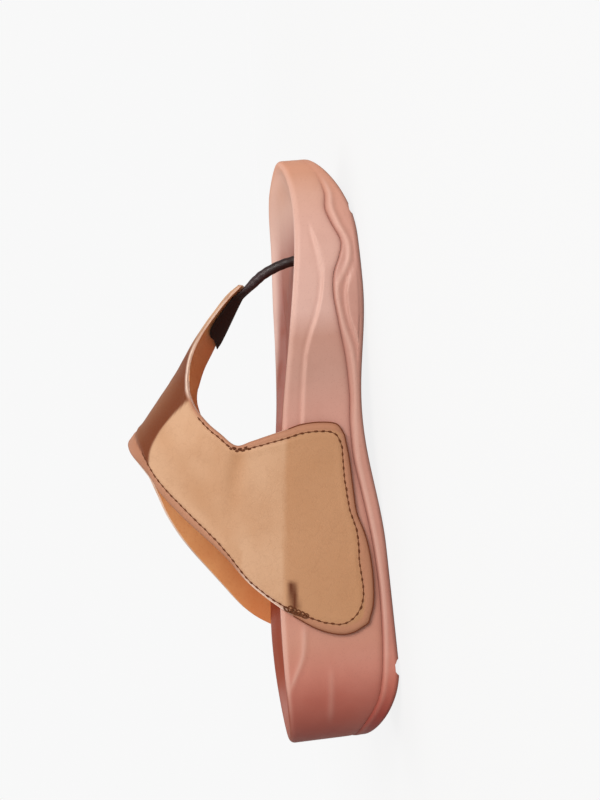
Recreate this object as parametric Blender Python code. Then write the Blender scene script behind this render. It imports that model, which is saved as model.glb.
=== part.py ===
"""A left kolhapuri-style thong sandal on a moulded wedge sole.

Lengths below are in millimetres and become metres as each mesh is made. +X points to the toe, +Y to the
outer (lateral) side of the left foot and +Z up. The origin lies on the floor, under the middle of the
sole. The sandal is made from an outsole, a footbed body, a toe post and an upper of two joined side
panels with a tongue.
"""

import math

import bmesh
import bpy
from mathutils import Vector

MM = 0.001
GAP = 0.3

# Driving dimensions
SOLE_LENGTH = 250.0
HEEL_RADIUS = 31.0
TOE_ROUNDING = 60.0
UPPER_WALL = 2.2
RIM_ROUNDING = 2.4
HEEL_END = -SOLE_LENGTH / 2
TOE_END = SOLE_LENGTH / 2

# Breadths from the curved middle line to each side, before the round ends are taken off
MIDDLE_LINE = [(HEEL_END, 0.0), (-60.0, 0.0), (0.0, 2.0), (50.0, 1.0), (90.0, -4.5), (TOE_END, -9.5)]
MEDIAL_BREADTH = [(HEEL_END, 30.5), (-60.0, 31.0), (-20.0, 32.5), (20.0, 37.5), (50.0, 42.6), (75.0, 42.3), (TOE_END, 38.0)]
LATERAL_BREADTH = [(HEEL_END, 31.0), (-60.0, 33.0), (-20.0, 36.2), (20.0, 40.8), (50.0, 42.7), (75.0, 43.2), (TOE_END, 42.0)]

# Heights above the floor along the sole
MEDIAL_RIM = [
    (HEEL_END, 46.8), (-95.0, 47.4), (-60.0, 46.2), (-20.0, 42.2), (15.0, 37.6),
    (45.0, 32.3), (72.0, 27.8), (90.0, 25.7), (104.0, 25.1), (116.0, 26.0), (TOE_END, 28.2),
]
LATERAL_RIM = [
    (HEEL_END, 46.8), (-95.0, 48.0), (-74.0, 47.4), (-40.0, 43.4), (9.0, 35.9),
    (25.0, 33.8), (48.0, 32.0), (70.0, 31.0), (92.0, 30.1), (114.0, 30.2), (TOE_END, 28.2),
]
BED_DEPTH = [(HEEL_END, 4.0), (-90.0, 5.0), (-40.0, 4.6), (10.0, 4.2), (50.0, 4.2), (74.0, 3.6), (90.0, 3.0), (108.0, 2.0), (TOE_END, 1.2)]
SEAM_HEIGHT = [
    (HEEL_END, 20.0), (-117.0, 15.5), (-107.0, 10.2), (-97.0, 7.8), (-84.0, 6.2), (-64.0, 5.2), (-46.0, 5.6),
    (-32.0, 6.8), (-18.0, 8.6), (-6.0, 10.2), (8.0, 10.3), (20.0, 9.5), (35.0, 10.0), (50.0, 11.9), (61.0, 12.9),
    (69.0, 12.0), (76.0, 9.0), (82.0, 7.6), (90.0, 10.4), (97.0, 12.2), (104.0, 11.4), (114.0, 13.4), (TOE_END, 18.5),
]

# Underside: flats at heel and forefoot on the floor, arch between them, lift beyond them
HEEL_FLAT_END = -92.0
HEEL_LIFT = 13.0
TOE_FLAT_END = 84.0
TOE_LIFT = 14.0
ARCH_MIDDLE = 10.0
ARCH_HALF_LENGTH = 55.0
ARCH_MEDIAL = 4.9
ARCH_LATERAL = 2.2
SOLE_HALF_BREADTH = 43.0
OUTSOLE_BULGE = [(HEEL_END, 0.0), (-112.0, 0.7), (92.0, 0.7), (112.0, 0.0), (TOE_END, 0.0)]
OUTSOLE_EDGE = 2.2

# Tread: two grooves right across, and shorter waved ones between them
END_GROOVES = [96.5, -91.0]
WAVED_GROOVES = [84.0, 73.0, 62.0, 51.0, -49.0, -60.0, -71.0, -82.0]
GROOVE_WIDTH = 3.0
GROOVE_DEPTH = 2.0
GROOVE_WAVE = 2.5
GROOVE_SIDE_MARGIN = 9.0

# Upper's crown: ridge and the two folds beside it, as (x, y, z) from behind the peak to the tongue's tip
RIDGE = [
    (-80.0, -2.0, 108.0), (-20.0, -2.0, 108.0), (3.0, -2.0, 105.2), (11.0, -2.0, 100.9), (18.0, -2.0, 94.6),
    (25.0, -2.5, 88.8), (31.0, -3.0, 83.8), (36.0, -3.0, 79.8), (41.0, -3.0, 75.6), (48.0, -2.5, 69.4),
    (56.0, -2.5, 62.4), (65.0, -4.5, 55.2), (69.0, -6.5, 51.6), (72.6, -8.5, 47.4),
]
MEDIAL_FOLD = [
    (-80.0, -16.0, 95.0), (-20.0, -16.0, 95.0), (3.0, -15.5, 94.2), (11.0, -15.0, 90.0), (18.0, -14.8, 83.8),
    (25.0, -14.5, 78.2), (31.0, -14.5, 74.8), (36.0, -14.4, 74.0), (41.0, -14.0, 73.0), (48.0, -12.5, 70.0),
    (56.0, -10.5, 64.6), (65.0, -10.0, 56.6), (69.0, -10.4, 52.6), (72.6, -11.0, 47.9),
]
LATERAL_FOLD = [
    (-80.0, 13.0, 95.0), (-20.0, 13.0, 95.0), (3.0, 13.0, 93.6), (11.0, 12.5, 89.6), (18.0, 12.2, 83.0),
    (25.0, 12.0, 76.4), (31.0, 11.5, 71.2), (36.0, 11.2, 68.8), (41.0, 11.0, 66.4), (48.0, 9.5, 62.0),
    (56.0, 6.0, 57.4), (65.0, 1.0, 52.0), (69.0, -2.5, 49.4), (72.6, -6.0, 46.9),
]
SIDE_FULLNESS = 4.5

# Upper's pattern, one rib a row: front edge (x, z), then rear edge (x, z), from the panel's foot to the ridge
MEDIAL_RIBS = [
    ((3.6, 12.9), (-74.2, 10.8)), ((8.2, 15.6), (-77.2, 17.0)), ((9.6, 22.0), (-77.2, 23.0)), ((9.4, 30.0), (-74.0, 31.0)),
    ((7.8, 37.0), (-67.8, 40.6)), ((6.2, 44.0), (-59.6, 50.4)), ((4.6, 51.0), (-51.4, 58.2)), ((3.6, 57.6), (-42.0, 66.0)),
    ((8.8, 63.6), (-32.5, 74.2)), ((15.4, 69.0), (-22.8, 82.2)), ((23.2, 72.8), (-13.0, 89.6)), ((31.0, 74.8), (-6.0, 93.8)),
    ((40.0, 73.2), (-1.0, 96.2)), ((48.0, 70.0), (3.4, 98.2)), ((56.0, 64.6), (6.6, 99.4)), ((65.0, 56.6), (8.8, 100.2)),
    ((72.6, 47.9), (10.2, 100.8)),
]
LATERAL_RIBS = [
    ((1.6, 12.9), (-84.2, 11.2)), ((6.2, 15.6), (-87.4, 17.6)), ((7.6, 22.0), (-87.6, 24.0)), ((7.4, 30.0), (-85.0, 33.0)),
    ((5.8, 37.0), (-80.0, 43.4)), ((4.2, 44.0), (-73.6, 52.8)), ((2.8, 51.0), (-66.0, 60.6)), ((2.8, 57.6), (-56.5, 68.6)),
    ((7.0, 63.2), (-46.0, 76.0)), ((13.4, 67.8), (-35.0, 82.8)), ((21.0, 70.2), (-23.0, 88.8)), ((31.0, 71.2), (-13.0, 92.6)),
    ((40.0, 66.9), (-5.0, 95.4)), ((48.0, 62.0), (1.2, 97.6)), ((56.0, 57.4), (5.4, 99.2)), ((65.0, 52.0), (8.2, 100.1)),
    ((72.6, 46.9), (10.0, 100.8)),
]
TONGUE_TIP = (72.6, 47.4)
PEAK = (10.4, 101.0)
# How far the foot of each panel rises above a straight line between its corners, along its length
FOOT_EDGE = [(0.0, 0.0), (0.12, -0.9), (0.3, -1.2), (0.42, -1.5), (0.52, -3.4), (0.62, -4.4), (0.76, -4.4), (0.9, -3.0), (1.0, 0.0)]
RIB_STEPS = 2
ROWS = 14

# Toe post: a round leather-covered cord that flattens into a tail under the tongue
POST_RADIUS = 2.15
POST_ROUTE = [(80.8, -14.0, 12.0), (81.0, -14.0, 22.0), (79.6, -13.5, 30.0), (76.6, -12.0, 37.6), (73.3, -10.0, 42.6)]
POST_HOLE_RADIUS = POST_RADIUS + GAP
POST_TAIL_THICKNESS = 1.2
POST_TAIL = [69.5, 66.0, 61.5, 57.0, 52.5]
POST_SIDES = 16


def table_value(table, x):
    """Smooth curve through a table of (x, value) rows, with the ends held level beyond it."""
    if x <= table[0][0]:
        return table[0][1]
    if x >= table[-1][0]:
        return table[-1][1]
    k = max(i for i in range(len(table) - 1) if table[i][0] <= x)
    (x0, y0), (x1, y1) = table[k], table[k + 1]
    span = x1 - x0
    before = table[max(k - 1, 0)]
    after = table[min(k + 2, len(table) - 1)]
    slope0 = (y1 - before[1]) / (x1 - before[0])
    slope1 = (after[1] - y0) / (after[0] - x0)
    t = (x - x0) / span
    h00 = (1 + 2 * t) * (1 - t) ** 2
    h10 = t * (1 - t) ** 2
    h01 = t * t * (3 - 2 * t)
    h11 = t * t * (t - 1)
    return h00 * y0 + h10 * span * slope0 + h01 * y1 + h11 * span * slope1


def column(table, index):
    """One column of a table whose rows start with x, as (x, value) rows."""
    return [(row[0], row[index]) for row in table]


def smooth_step(t):
    """0 below 0, 1 above 1 and a soft ramp between."""
    t = min(1.0, max(0.0, t))
    return t * t * (3 - 2 * t)


def end_rounding(x):
    """Share of the breadth that is left at x by the round heel and the round toe."""
    heel = (HEEL_END + HEEL_RADIUS - x) / HEEL_RADIUS
    toe = (x - TOE_END + TOE_ROUNDING) / TOE_ROUNDING
    over = min(1.0, max(0.0, heel, toe))
    return math.sqrt(1 - over * over)


def side_y(x, side):
    """Y of the sole's outline at x: side is -1 on the medial side and +1 on the lateral side."""
    breadth = table_value(MEDIAL_BREADTH if side < 0 else LATERAL_BREADTH, x)
    return table_value(MIDDLE_LINE, x) + side * breadth * end_rounding(x)


def outline_stations(heel_steps=9, middle_steps=26, toe_steps=11):
    """X stations from heel end to toe end, close together round the ends."""
    heel = [HEEL_END + HEEL_RADIUS * (1 - math.cos(math.pi / 2 * i / heel_steps)) for i in range(heel_steps)]
    toe = [TOE_END - TOE_ROUNDING * (1 - math.cos(math.pi / 2 * i / toe_steps)) for i in range(toe_steps)]
    start, end = HEEL_END + HEEL_RADIUS, TOE_END - TOE_ROUNDING
    middle = [start + (end - start) * i / middle_steps for i in range(middle_steps + 1)]
    return heel + middle + toe[::-1]


def sole_outline():
    """Outline points: heel end, up the lateral side, toe end and back along the medial side."""
    stations = outline_stations()
    lateral = [(x, side_y(x, 1)) for x in stations]
    medial = [(x, side_y(x, -1)) for x in stations[1:-1]]
    return lateral + medial[::-1]


def outline_normals(outline):
    """Outward unit normals of the closed outline."""
    normals = []
    for i in range(len(outline)):
        before, after = outline[i - 1], outline[(i + 1) % len(outline)]
        along = Vector((after[0] - before[0], after[1] - before[1]))
        along.normalize()
        normals.append((-along.y, along.x))
    return normals


def rim_height(x, y):
    """Height of the rim's crest, blended over the footbed from the medial to the lateral side."""
    low_y, high_y = side_y(x, -1), side_y(x, 1)
    share = smooth_step((y - low_y) / max(high_y - low_y, 0.001))
    return table_value(MEDIAL_RIM, x) * (1 - share) + table_value(LATERAL_RIM, x) * share


def seam_height(x):
    return table_value(SEAM_HEIGHT, x)


def underside_height(x, y):
    """Height of the outsole's underside: zero on the heel and forefoot flats."""
    if x < HEEL_FLAT_END:
        return HEEL_LIFT * ((HEEL_FLAT_END - x) / (HEEL_FLAT_END - HEEL_END)) ** 2
    if x > TOE_FLAT_END:
        return TOE_LIFT * ((x - TOE_FLAT_END) / (TOE_END - TOE_FLAT_END)) ** 2
    reach = (x - ARCH_MIDDLE) / ARCH_HALF_LENGTH
    if abs(reach) >= 1:
        return 0.0
    share = (y + SOLE_HALF_BREADTH) / (2 * SOLE_HALF_BREADTH)
    rise = ARCH_MEDIAL + (ARCH_LATERAL - ARCH_MEDIAL) * share
    return rise * math.cos(math.pi / 2 * reach) ** 2


def bed_height(x, y, inset):
    """Height of the dished footbed: inset is 0 at the rim's crest and 1 on the middle line."""
    return rim_height(x, y) - table_value(BED_DEPTH, x) * smooth_step(inset / 0.34)


def drawn_in(point, share):
    """An outline point drawn in towards the sole's middle line, to share of its distance."""
    x = min(TOE_END - 46.0, max(HEEL_END + 32.0, point[0]))
    middle = (x, table_value(MIDDLE_LINE, x))
    return tuple(m + (p - m) * share for p, m in zip(point, middle))


def ring(outline, normals, offset, height):
    """Ring of points at a distance outside the outline; height is a function of x and y."""
    points = [(p[0] + n[0] * offset, p[1] + n[1] * offset) for p, n in zip(outline, normals)]
    return [Vector((x, y, height(x, y))) for x, y in points]


def inner_ring(outline, normals, offset, share, height):
    """Ring of points drawn in from an offset outline towards the middle line."""
    points = [(p[0] + n[0] * offset, p[1] + n[1] * offset) for p, n in zip(outline, normals)]
    points = [drawn_in(p, share) for p in points]
    return [Vector((x, y, height(x, y))) for x, y in points]


def mesh_object(name, bm, material, sharp_angle=40.0):
    """Turns a bmesh in millimetres into a named, smooth-shaded object in metres."""
    bmesh.ops.recalc_face_normals(bm, faces=bm.faces)
    bmesh.ops.scale(bm, vec=(MM, MM, MM), verts=bm.verts)
    mesh = bpy.data.meshes.new(name)
    bm.to_mesh(mesh)
    bm.free()
    mesh.shade_smooth()
    mesh.set_sharp_from_angle(angle=math.radians(sharp_angle))
    if material is not None:
        mesh.materials.append(material)
    made = bpy.data.objects.new(name, mesh)
    bpy.context.scene.collection.objects.link(made)
    return made


def bridge(bm, rows):
    """Quads between successive closed rings of vertices."""
    for lower, upper in zip(rows, rows[1:]):
        for i in range(len(lower)):
            j = (i + 1) % len(lower)
            bm.faces.new((lower[i], lower[j], upper[j], upper[i]))


def close_across(bm, row):
    """Closes a ring whose two halves face each other, from heel end to toe end."""
    half = len(row) // 2
    bm.faces.new((row[0], row[1], row[-1]))
    for i in range(1, half - 1):
        bm.faces.new((row[i], row[i + 1], row[-i - 1], row[-i]))
    bm.faces.new((row[half - 1], row[half], row[half + 1]))


def solid_of_rings(name, rings, material):
    """Closed solid from a stack of rings, closed across at both ends."""
    bm = bmesh.new()
    rows = [[bm.verts.new(p) for p in points] for points in rings]
    bridge(bm, rows)
    close_across(bm, rows[0])
    close_across(bm, rows[-1])
    bmesh.ops.triangulate(bm, faces=bm.faces, quad_method="SHORT_EDGE")
    return mesh_object(name, bm, material)


def hide_cutter(cutter):
    cutter.hide_render = True
    cutter.display_type = "WIRE"


def cut(target, cutter):
    """Cuts one object from another with a Boolean modifier."""
    modifier = target.modifiers.new("cut " + cutter.name, "BOOLEAN")
    modifier.operation = "DIFFERENCE"
    modifier.object = cutter
    hide_cutter(cutter)


def plastic(name, colour, roughness):
    """Plain material with the piece's colour and roughness."""
    material = bpy.data.materials.new(name)
    material.use_nodes = True
    shader = material.node_tree.nodes["Principled BSDF"]
    shader.inputs["Base Color"].default_value = (*colour, 1.0)
    shader.inputs["Roughness"].default_value = roughness
    shader.inputs["Metallic"].default_value = 0.0
    return material


def groove_cutter(bm, middle_x, low_y, high_y, wave, steps=10):
    """Adds one waved bar to the tread cutter, reaching a groove's depth into the underside."""
    below = 4.0
    sections = []
    for i in range(steps + 1):
        y = low_y + (high_y - low_y) * i / steps
        x = middle_x + wave * math.sin(math.pi * (y - low_y) / 22.0)
        top = underside_height(x, 0.0) + GROOVE_DEPTH
        half = GROOVE_WIDTH / 2
        corners = [(x - half, -below), (x + half, -below), (x + half * 0.6, top), (x - half * 0.6, top)]
        sections.append([bm.verts.new((cx, y, cz)) for cx, cz in corners])
    bridge(bm, sections)
    bm.faces.new(sections[0])
    bm.faces.new(sections[-1][::-1])


def make_outsole():
    """Outsole: a band with a waved upper edge, a rounded lower edge and a grooved tread."""
    outline = sole_outline()
    normals = outline_normals(outline)
    bulges = [table_value(OUTSOLE_BULGE, p[0]) for p in outline]
    proud = [(p[0] + n[0] * b, p[1] + n[1] * b) for p, n, b in zip(outline, normals, bulges)]

    def under(x, y):
        return underside_height(x, y)

    def above_under(rise):
        return lambda x, y: underside_height(x, y) + rise

    def seam(x, _y):
        return seam_height(x)

    def below_seam(drop):
        return lambda x, y: max(seam_height(x) - drop, underside_height(x, y) + OUTSOLE_EDGE * 0.8)

    rings = [
        inner_ring(outline, normals, -OUTSOLE_EDGE, 0.35, under),
        inner_ring(outline, normals, -OUTSOLE_EDGE, 0.75, under),
        ring(outline, normals, -OUTSOLE_EDGE, under),
        ring(outline, normals, -OUTSOLE_EDGE * 0.25, above_under(OUTSOLE_EDGE * 0.25)),
        ring(proud, normals, 0.0, above_under(OUTSOLE_EDGE * 0.75)),
        ring(proud, normals, 0.0, below_seam(1.0)),
        ring(outline, normals, 0.0, seam),
        inner_ring(outline, normals, 0.0, 0.6, seam),
        inner_ring(outline, normals, 0.0, 0.25, seam),
    ]
    outsole = solid_of_rings("outsole", rings, plastic("pink_outsole", (0.62, 0.32, 0.24), 0.55))
    bm = bmesh.new()
    for x in END_GROOVES:
        groove_cutter(bm, x, -SOLE_HALF_BREADTH - 10, SOLE_HALF_BREADTH + 10, 0.0, steps=2)
    for x in WAVED_GROOVES:
        low_y, high_y = side_y(x, -1) + GROOVE_SIDE_MARGIN, side_y(x, 1) - GROOVE_SIDE_MARGIN
        groove_cutter(bm, x, low_y, high_y, GROOVE_WAVE)
    cut(outsole, mesh_object("tread_cutter", bm, None))
    return outsole


def make_footbed():
    """Footbed body: waved underside, upright wall, rounded rim and a dished bed with the post's hole."""
    outline = sole_outline()
    normals = outline_normals(outline)

    def bottom(x, _y):
        return seam_height(x) + GAP

    def at_rim(drop):
        return lambda x, y: rim_height(x, y) - drop

    def bed(inset):
        return lambda x, y: bed_height(x, y, inset)

    middle_wall = [(seam_height(p[0]) + rim_height(*p)) / 2 for p in outline]
    wall = [Vector((p[0], p[1], z)) for p, z in zip(outline, middle_wall)]
    rings = [
        inner_ring(outline, normals, 0.0, 0.25, bottom),
        inner_ring(outline, normals, 0.0, 0.6, bottom),
        ring(outline, normals, 0.0, bottom),
        wall,
        ring(outline, normals, 0.0, at_rim(RIM_ROUNDING)),
        ring(outline, normals, -RIM_ROUNDING * 0.3, at_rim(RIM_ROUNDING * 0.3)),
        ring(outline, normals, -RIM_ROUNDING, at_rim(0.0)),
    ]
    for inset in (0.06, 0.16, 0.34, 0.62, 0.85):
        rings.append(inner_ring(outline, normals, -RIM_ROUNDING, 1 - inset, bed(inset)))
    footbed = solid_of_rings("footbed_body", rings, plastic("pink_footbed", (0.66, 0.36, 0.27), 0.5))
    base = Vector(POST_ROUTE[0])
    depth = rim_height(base.x, base.y) - base.z + 4.0
    bpy.ops.mesh.primitive_cylinder_add(
        vertices=POST_SIDES + 4,
        radius=POST_HOLE_RADIUS * MM,
        depth=depth * MM,
        location=(base.x * MM, base.y * MM, (base.z - 1.0 + depth / 2) * MM),
    )
    cutter = bpy.context.object
    cutter.name = "post_hole_cutter"
    cut(footbed, cutter)
    return footbed


def crown_point(x, side):
    """Corner points of the upper's section at x, from the floor at one side up to the ridge."""
    stand_off = GAP + UPPER_WALL / 2
    foot_y = side_y(x, side) + side * stand_off
    fold_table = MEDIAL_FOLD if side < 0 else LATERAL_FOLD
    fold = (table_value(column(fold_table, 1), x), table_value(column(fold_table, 2), x))
    ridge = (table_value(column(RIDGE, 1), x), table_value(column(RIDGE, 2), x))
    rim = rim_height(x, foot_y)
    middle = ((foot_y + fold[0]) / 2 + side * SIDE_FULLNESS, (rim + fold[1]) / 2)
    return [(foot_y, 0.0), (foot_y, rim), middle, fold, ridge]


def section_corners(x):
    """Corner points (y, z) of the whole section at x, medial floor to lateral floor, ridge at index 4."""
    return crown_point(x, -1) + crown_point(x, 1)[-2::-1]


def upper_point(x, position):
    """Point of the upper's middle surface: a smooth section through the corners at x."""
    corners = section_corners(x)
    y = table_value([(i, corner[0]) for i, corner in enumerate(corners)], position)
    z = table_value([(i, corner[1]) for i, corner in enumerate(corners)], position)
    return Vector((x, y, z))


def position_at_height(x, z, side):
    """Position along the section at x where one side of the upper reaches height z."""
    corners = section_corners(x)
    half = corners[:5] if side < 0 else corners[4:][::-1]
    position = 4.0
    for k in range(4):
        low, high = half[k][1], half[k + 1][1]
        if z <= high or k == 3:
            position = k + (z - low) / max(high - low, 0.001)
            break
    position = min(position, 4.0)
    return position if side < 0 else 8.0 - position


def edge_points(ribs, side):
    """Front and rear edges of one side, foot to ridge, as (x, position) points."""
    front = []
    for (x, z), _ in ribs:
        on_fold = x > 30.0
        front.append((x, (3.0 if side < 0 else 5.0) if on_fold else position_at_height(x, z, side)))
    rear = [(x, position_at_height(x, z, side)) for _, (x, z) in ribs]
    return front, rear


def refine(points, steps):
    """Smooth curve through points, with steps spans for each given span."""
    rows = [[(i, p[axis]) for i, p in enumerate(points)] for axis in (0, 1)]
    count = (len(points) - 1) * steps
    return [tuple(table_value(row, i / steps) for row in rows) for i in range(count + 1)]


def foot_edge(front, rear, side, steps):
    """Lower edge of a panel between its two corners, hung from a straight line by FOOT_EDGE."""
    points = []
    for i in range(steps + 1):
        t = i / steps
        x = front[0] + (rear[0] - front[0]) * t
        straight = front[1] + (rear[1] - front[1]) * t
        rise = table_value(FOOT_EDGE, t) / rim_height(x, side_y(x, side))
        points.append((x, straight + (rise if side < 0 else -rise)))
    return points


def upper_grid():
    """Grid of (x, position) points: columns go over the foot and rows from front to rear edge."""
    medial_front, medial_rear = edge_points(MEDIAL_RIBS, -1)
    lateral_front, lateral_rear = edge_points(LATERAL_RIBS, 1)
    front = refine(medial_front + [(TONGUE_TIP[0], 4.0)] + lateral_front[::-1], RIB_STEPS)
    rear = refine(medial_rear + [(PEAK[0], 4.0)] + lateral_rear[::-1], RIB_STEPS)
    medial_foot = foot_edge(front[0], rear[0], -1, ROWS)
    lateral_foot = foot_edge(front[-1], rear[-1], 1, ROWS)
    grid = []
    for i in range(len(front)):
        u = i / (len(front) - 1)
        reach_medial, reach_lateral = max(0.0, 1 - u * 4), max(0.0, u * 4 - 3)
        column_points = []
        for j in range(ROWS + 1):
            v = j / ROWS
            point = []
            for axis in (0, 1):
                across = front[i][axis] * (1 - v) + rear[i][axis] * v
                medial_line = front[0][axis] * (1 - v) + rear[0][axis] * v
                lateral_line = front[-1][axis] * (1 - v) + rear[-1][axis] * v
                across += reach_medial * (medial_foot[j][axis] - medial_line)
                across += reach_lateral * (lateral_foot[j][axis] - lateral_line)
                point.append(across)
            column_points.append(tuple(point))
        grid.append(column_points)
    return grid


def make_upper():
    """Upper: one leather wall, from panel to panel over the instep, with the tongue to the post."""
    bm = bmesh.new()
    columns = [[bm.verts.new(upper_point(x, position)) for x, position in points] for points in upper_grid()]
    for left, right in zip(columns, columns[1:]):
        for j in range(len(left) - 1):
            bm.faces.new((left[j], left[j + 1], right[j + 1], right[j]))
    upper = mesh_object("upper", bm, plastic("tan_leather", (0.56, 0.30, 0.15), 0.5))
    wall = upper.modifiers.new("wall", "SOLIDIFY")
    wall.thickness = UPPER_WALL * MM
    wall.offset = 0.0
    return upper


def route_frames(points):
    """Tangent and across directions at each point of the post's route."""
    frames = []
    for i in range(len(points)):
        along = (points[min(i + 1, len(points) - 1)] - points[max(i - 1, 0)]).normalized()
        across = Vector((0.0, 1.0, 0.0))
        across = (across - along * across.dot(along)).normalized()
        frames.append((along, across))
    return frames


def tail_ring(x):
    """Ring of the post's flat tail at x, a gap below the tongue and as wide as it."""
    step = 0.4
    middle = upper_point(x, 4.0)
    across = (upper_point(x, 4.9) - upper_point(x, 3.1)).normalized()
    forward = (upper_point(x + step, 4.0) - upper_point(x - step, 4.0)).normalized()
    down = forward.cross(across).normalized()
    if down.z > 0:
        down = -down
    half = (upper_point(x, 4.9) - upper_point(x, 3.1)).length / 2
    centre = (upper_point(x, 4.9) + upper_point(x, 3.1)) / 2
    sag = (middle - centre).dot(down)
    drop = UPPER_WALL / 2 + GAP + 0.25 + POST_TAIL_THICKNESS / 2
    points = []
    for k in range(POST_SIDES):
        angle = 2 * math.pi * k / POST_SIDES
        c, s = math.cos(angle), math.sin(angle)
        wide = half * math.copysign(abs(c) ** 0.6, c)
        thick = POST_TAIL_THICKNESS / 2 * math.copysign(abs(s) ** 0.6, s)
        bow = sag * (1 - abs(c) ** 1.2)
        points.append(centre + across * wide + down * (drop + bow + thick))
    return points


def make_toe_post():
    """Toe post: round from its hole to the tongue's tip, then a flat tail that lines the tongue."""
    route = [Vector(p) for p in POST_ROUTE]
    smooth = [
        Vector(tuple(table_value([(i, p[axis]) for i, p in enumerate(route)], step / 3) for axis in range(3)))
        for step in range((len(route) - 1) * 3 + 1)
    ]
    rings = []
    for point, (along, across) in zip(smooth, route_frames(smooth)):
        down = -across.cross(along).normalized()
        if down.x > 0:
            down = -down
        rings.append([
            point + (across * math.cos(2 * math.pi * k / POST_SIDES) + down * math.sin(2 * math.pi * k / POST_SIDES))
            * POST_RADIUS
            for k in range(POST_SIDES)
        ])
    rings += [tail_ring(x) for x in POST_TAIL]
    bm = bmesh.new()
    rows = [[bm.verts.new(p) for p in points] for points in rings]
    bridge(bm, rows)
    bm.faces.new(rows[0])
    bm.faces.new(rows[-1][::-1])
    return mesh_object("toe_post", bm, plastic("dark_leather", (0.05, 0.022, 0.02), 0.45))


def main():
    for old in list(bpy.data.objects):
        bpy.data.objects.remove(old, do_unlink=True)
    make_outsole()
    make_footbed()
    make_upper()
    make_toe_post()


main()
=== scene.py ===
"""A left kolhapuri-style thong sandal on a moulded wedge sole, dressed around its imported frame.

Every piece rides on the frame's one body. Sizes in the classes below are in millimetres: +X points to the toe,
+Y to the outer side of the left foot and +Z up. Each sub-assembly is a class that models its pieces and
dresses them, and each finish is a class that makes one material.
"""

import logging
import math
import random
from contextlib import contextmanager
from dataclasses import dataclass
from enum import Enum
from typing import Callable, Iterator, Sequence

import bpy
import numpy as np
from mathutils import Matrix, Vector, noise


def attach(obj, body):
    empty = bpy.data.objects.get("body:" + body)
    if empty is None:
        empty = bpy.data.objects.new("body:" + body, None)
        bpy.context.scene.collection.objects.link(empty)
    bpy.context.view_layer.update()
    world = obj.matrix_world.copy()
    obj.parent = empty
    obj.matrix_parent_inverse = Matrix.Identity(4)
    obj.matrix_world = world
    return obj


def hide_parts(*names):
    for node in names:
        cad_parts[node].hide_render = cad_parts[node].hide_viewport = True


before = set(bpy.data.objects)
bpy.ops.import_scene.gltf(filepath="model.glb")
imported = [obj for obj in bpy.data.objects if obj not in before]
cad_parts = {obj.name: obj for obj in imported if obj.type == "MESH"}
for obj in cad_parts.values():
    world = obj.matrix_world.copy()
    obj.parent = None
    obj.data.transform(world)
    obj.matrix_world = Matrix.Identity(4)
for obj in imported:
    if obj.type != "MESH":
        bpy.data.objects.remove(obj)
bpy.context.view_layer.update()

Pair, Triple = tuple[float, float], tuple[float, float, float]
Quad = Colour = tuple[float, float, float, float]
Table, Pairs, Rings = tuple[Pair, ...], list[Pair], list[list[Vector]]
Height = Callable[[float, float], float]
Tints = Callable[[float, float, float, float], Triple]

Piece, Material = bpy.types.Object, bpy.types.Material
Tree, Node, Socket = bpy.types.NodeTree, bpy.types.Node, bpy.types.NodeSocket
MM = 0.001
MERGE = 0.01 * MM
BODY = "root"
LOG = logging.getLogger("sandal")


class Side(Enum):
    """The two sides of the left shoe, with the sign of Y on each."""

    MEDIAL = -1
    LATERAL = 1


class Coat(Enum):
    """Faces of the upper by what they are made of, with their material index."""

    OUTER = 0
    LINING = 1
    CUT_EDGE = 2


# ---- curves ----


def curve(table: Table, x: float) -> float:
    """Smooth curve through a table, level beyond its ends.

    Args:
        table: Rows of (x, value) with rising x.
        x: Where the curve is read.

    Returns:
        The value at x.
    """
    if x <= table[0][0]:
        return table[0][1]
    if x >= table[-1][0]:
        return table[-1][1]
    k = max(i for i in range(len(table) - 1) if table[i][0] <= x)
    (x0, y0), (x1, y1) = table[k], table[k + 1]
    span = x1 - x0
    before, after = table[max(k - 1, 0)], table[min(k + 2, len(table) - 1)]
    slope0 = (y1 - before[1]) / (x1 - before[0])
    slope1 = (after[1] - y0) / (after[0] - x0)
    t = (x - x0) / span
    return (
        (1 + 2 * t) * (1 - t) ** 2 * y0
        + t * (1 - t) ** 2 * span * slope0
        + t * t * (3 - 2 * t) * y1
        + t * t * (t - 1) * span * slope1
    )


def soft(t: float) -> float:
    """Soft ramp that is 0 below 0 and 1 above 1."""
    t = min(1.0, max(0.0, t))
    return t * t * (3 - 2 * t)


def ramp(values: np.ndarray, start: float, reach: float) -> np.ndarray:
    """Straight ramp from 0 at a start to 1 a reach further on, which may lie below it."""
    return np.clip((values - start) / reach, 0, 1)


def mound(distance: float, width: float) -> float:
    """Bell shape of height 1 around a distance of 0."""
    return math.exp(-((distance / width) ** 2))


def display_tone(red: int, green: int, blue: int) -> Colour:
    """Linear colour of a display colour that is given from 0 to 255."""
    shares = [value / 255 for value in (red, green, blue)]
    linear = [s / 12.92 if s <= 0.04045 else ((s + 0.055) / 1.055) ** 2.4 for s in shares]
    return (linear[0], linear[1], linear[2], 1.0)


# ---- modelling tools ----


def deselect_all() -> None:
    """Leaves object mode with nothing selected."""
    if bpy.context.mode != "OBJECT":
        bpy.ops.object.mode_set(mode="OBJECT")
    bpy.ops.object.select_all(action="DESELECT")


def pick(*pieces: Piece) -> None:
    """Selects only these pieces and makes the first one active."""
    deselect_all()
    for piece in pieces:
        piece.select_set(True)
    bpy.context.view_layer.objects.active = pieces[0]


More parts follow.
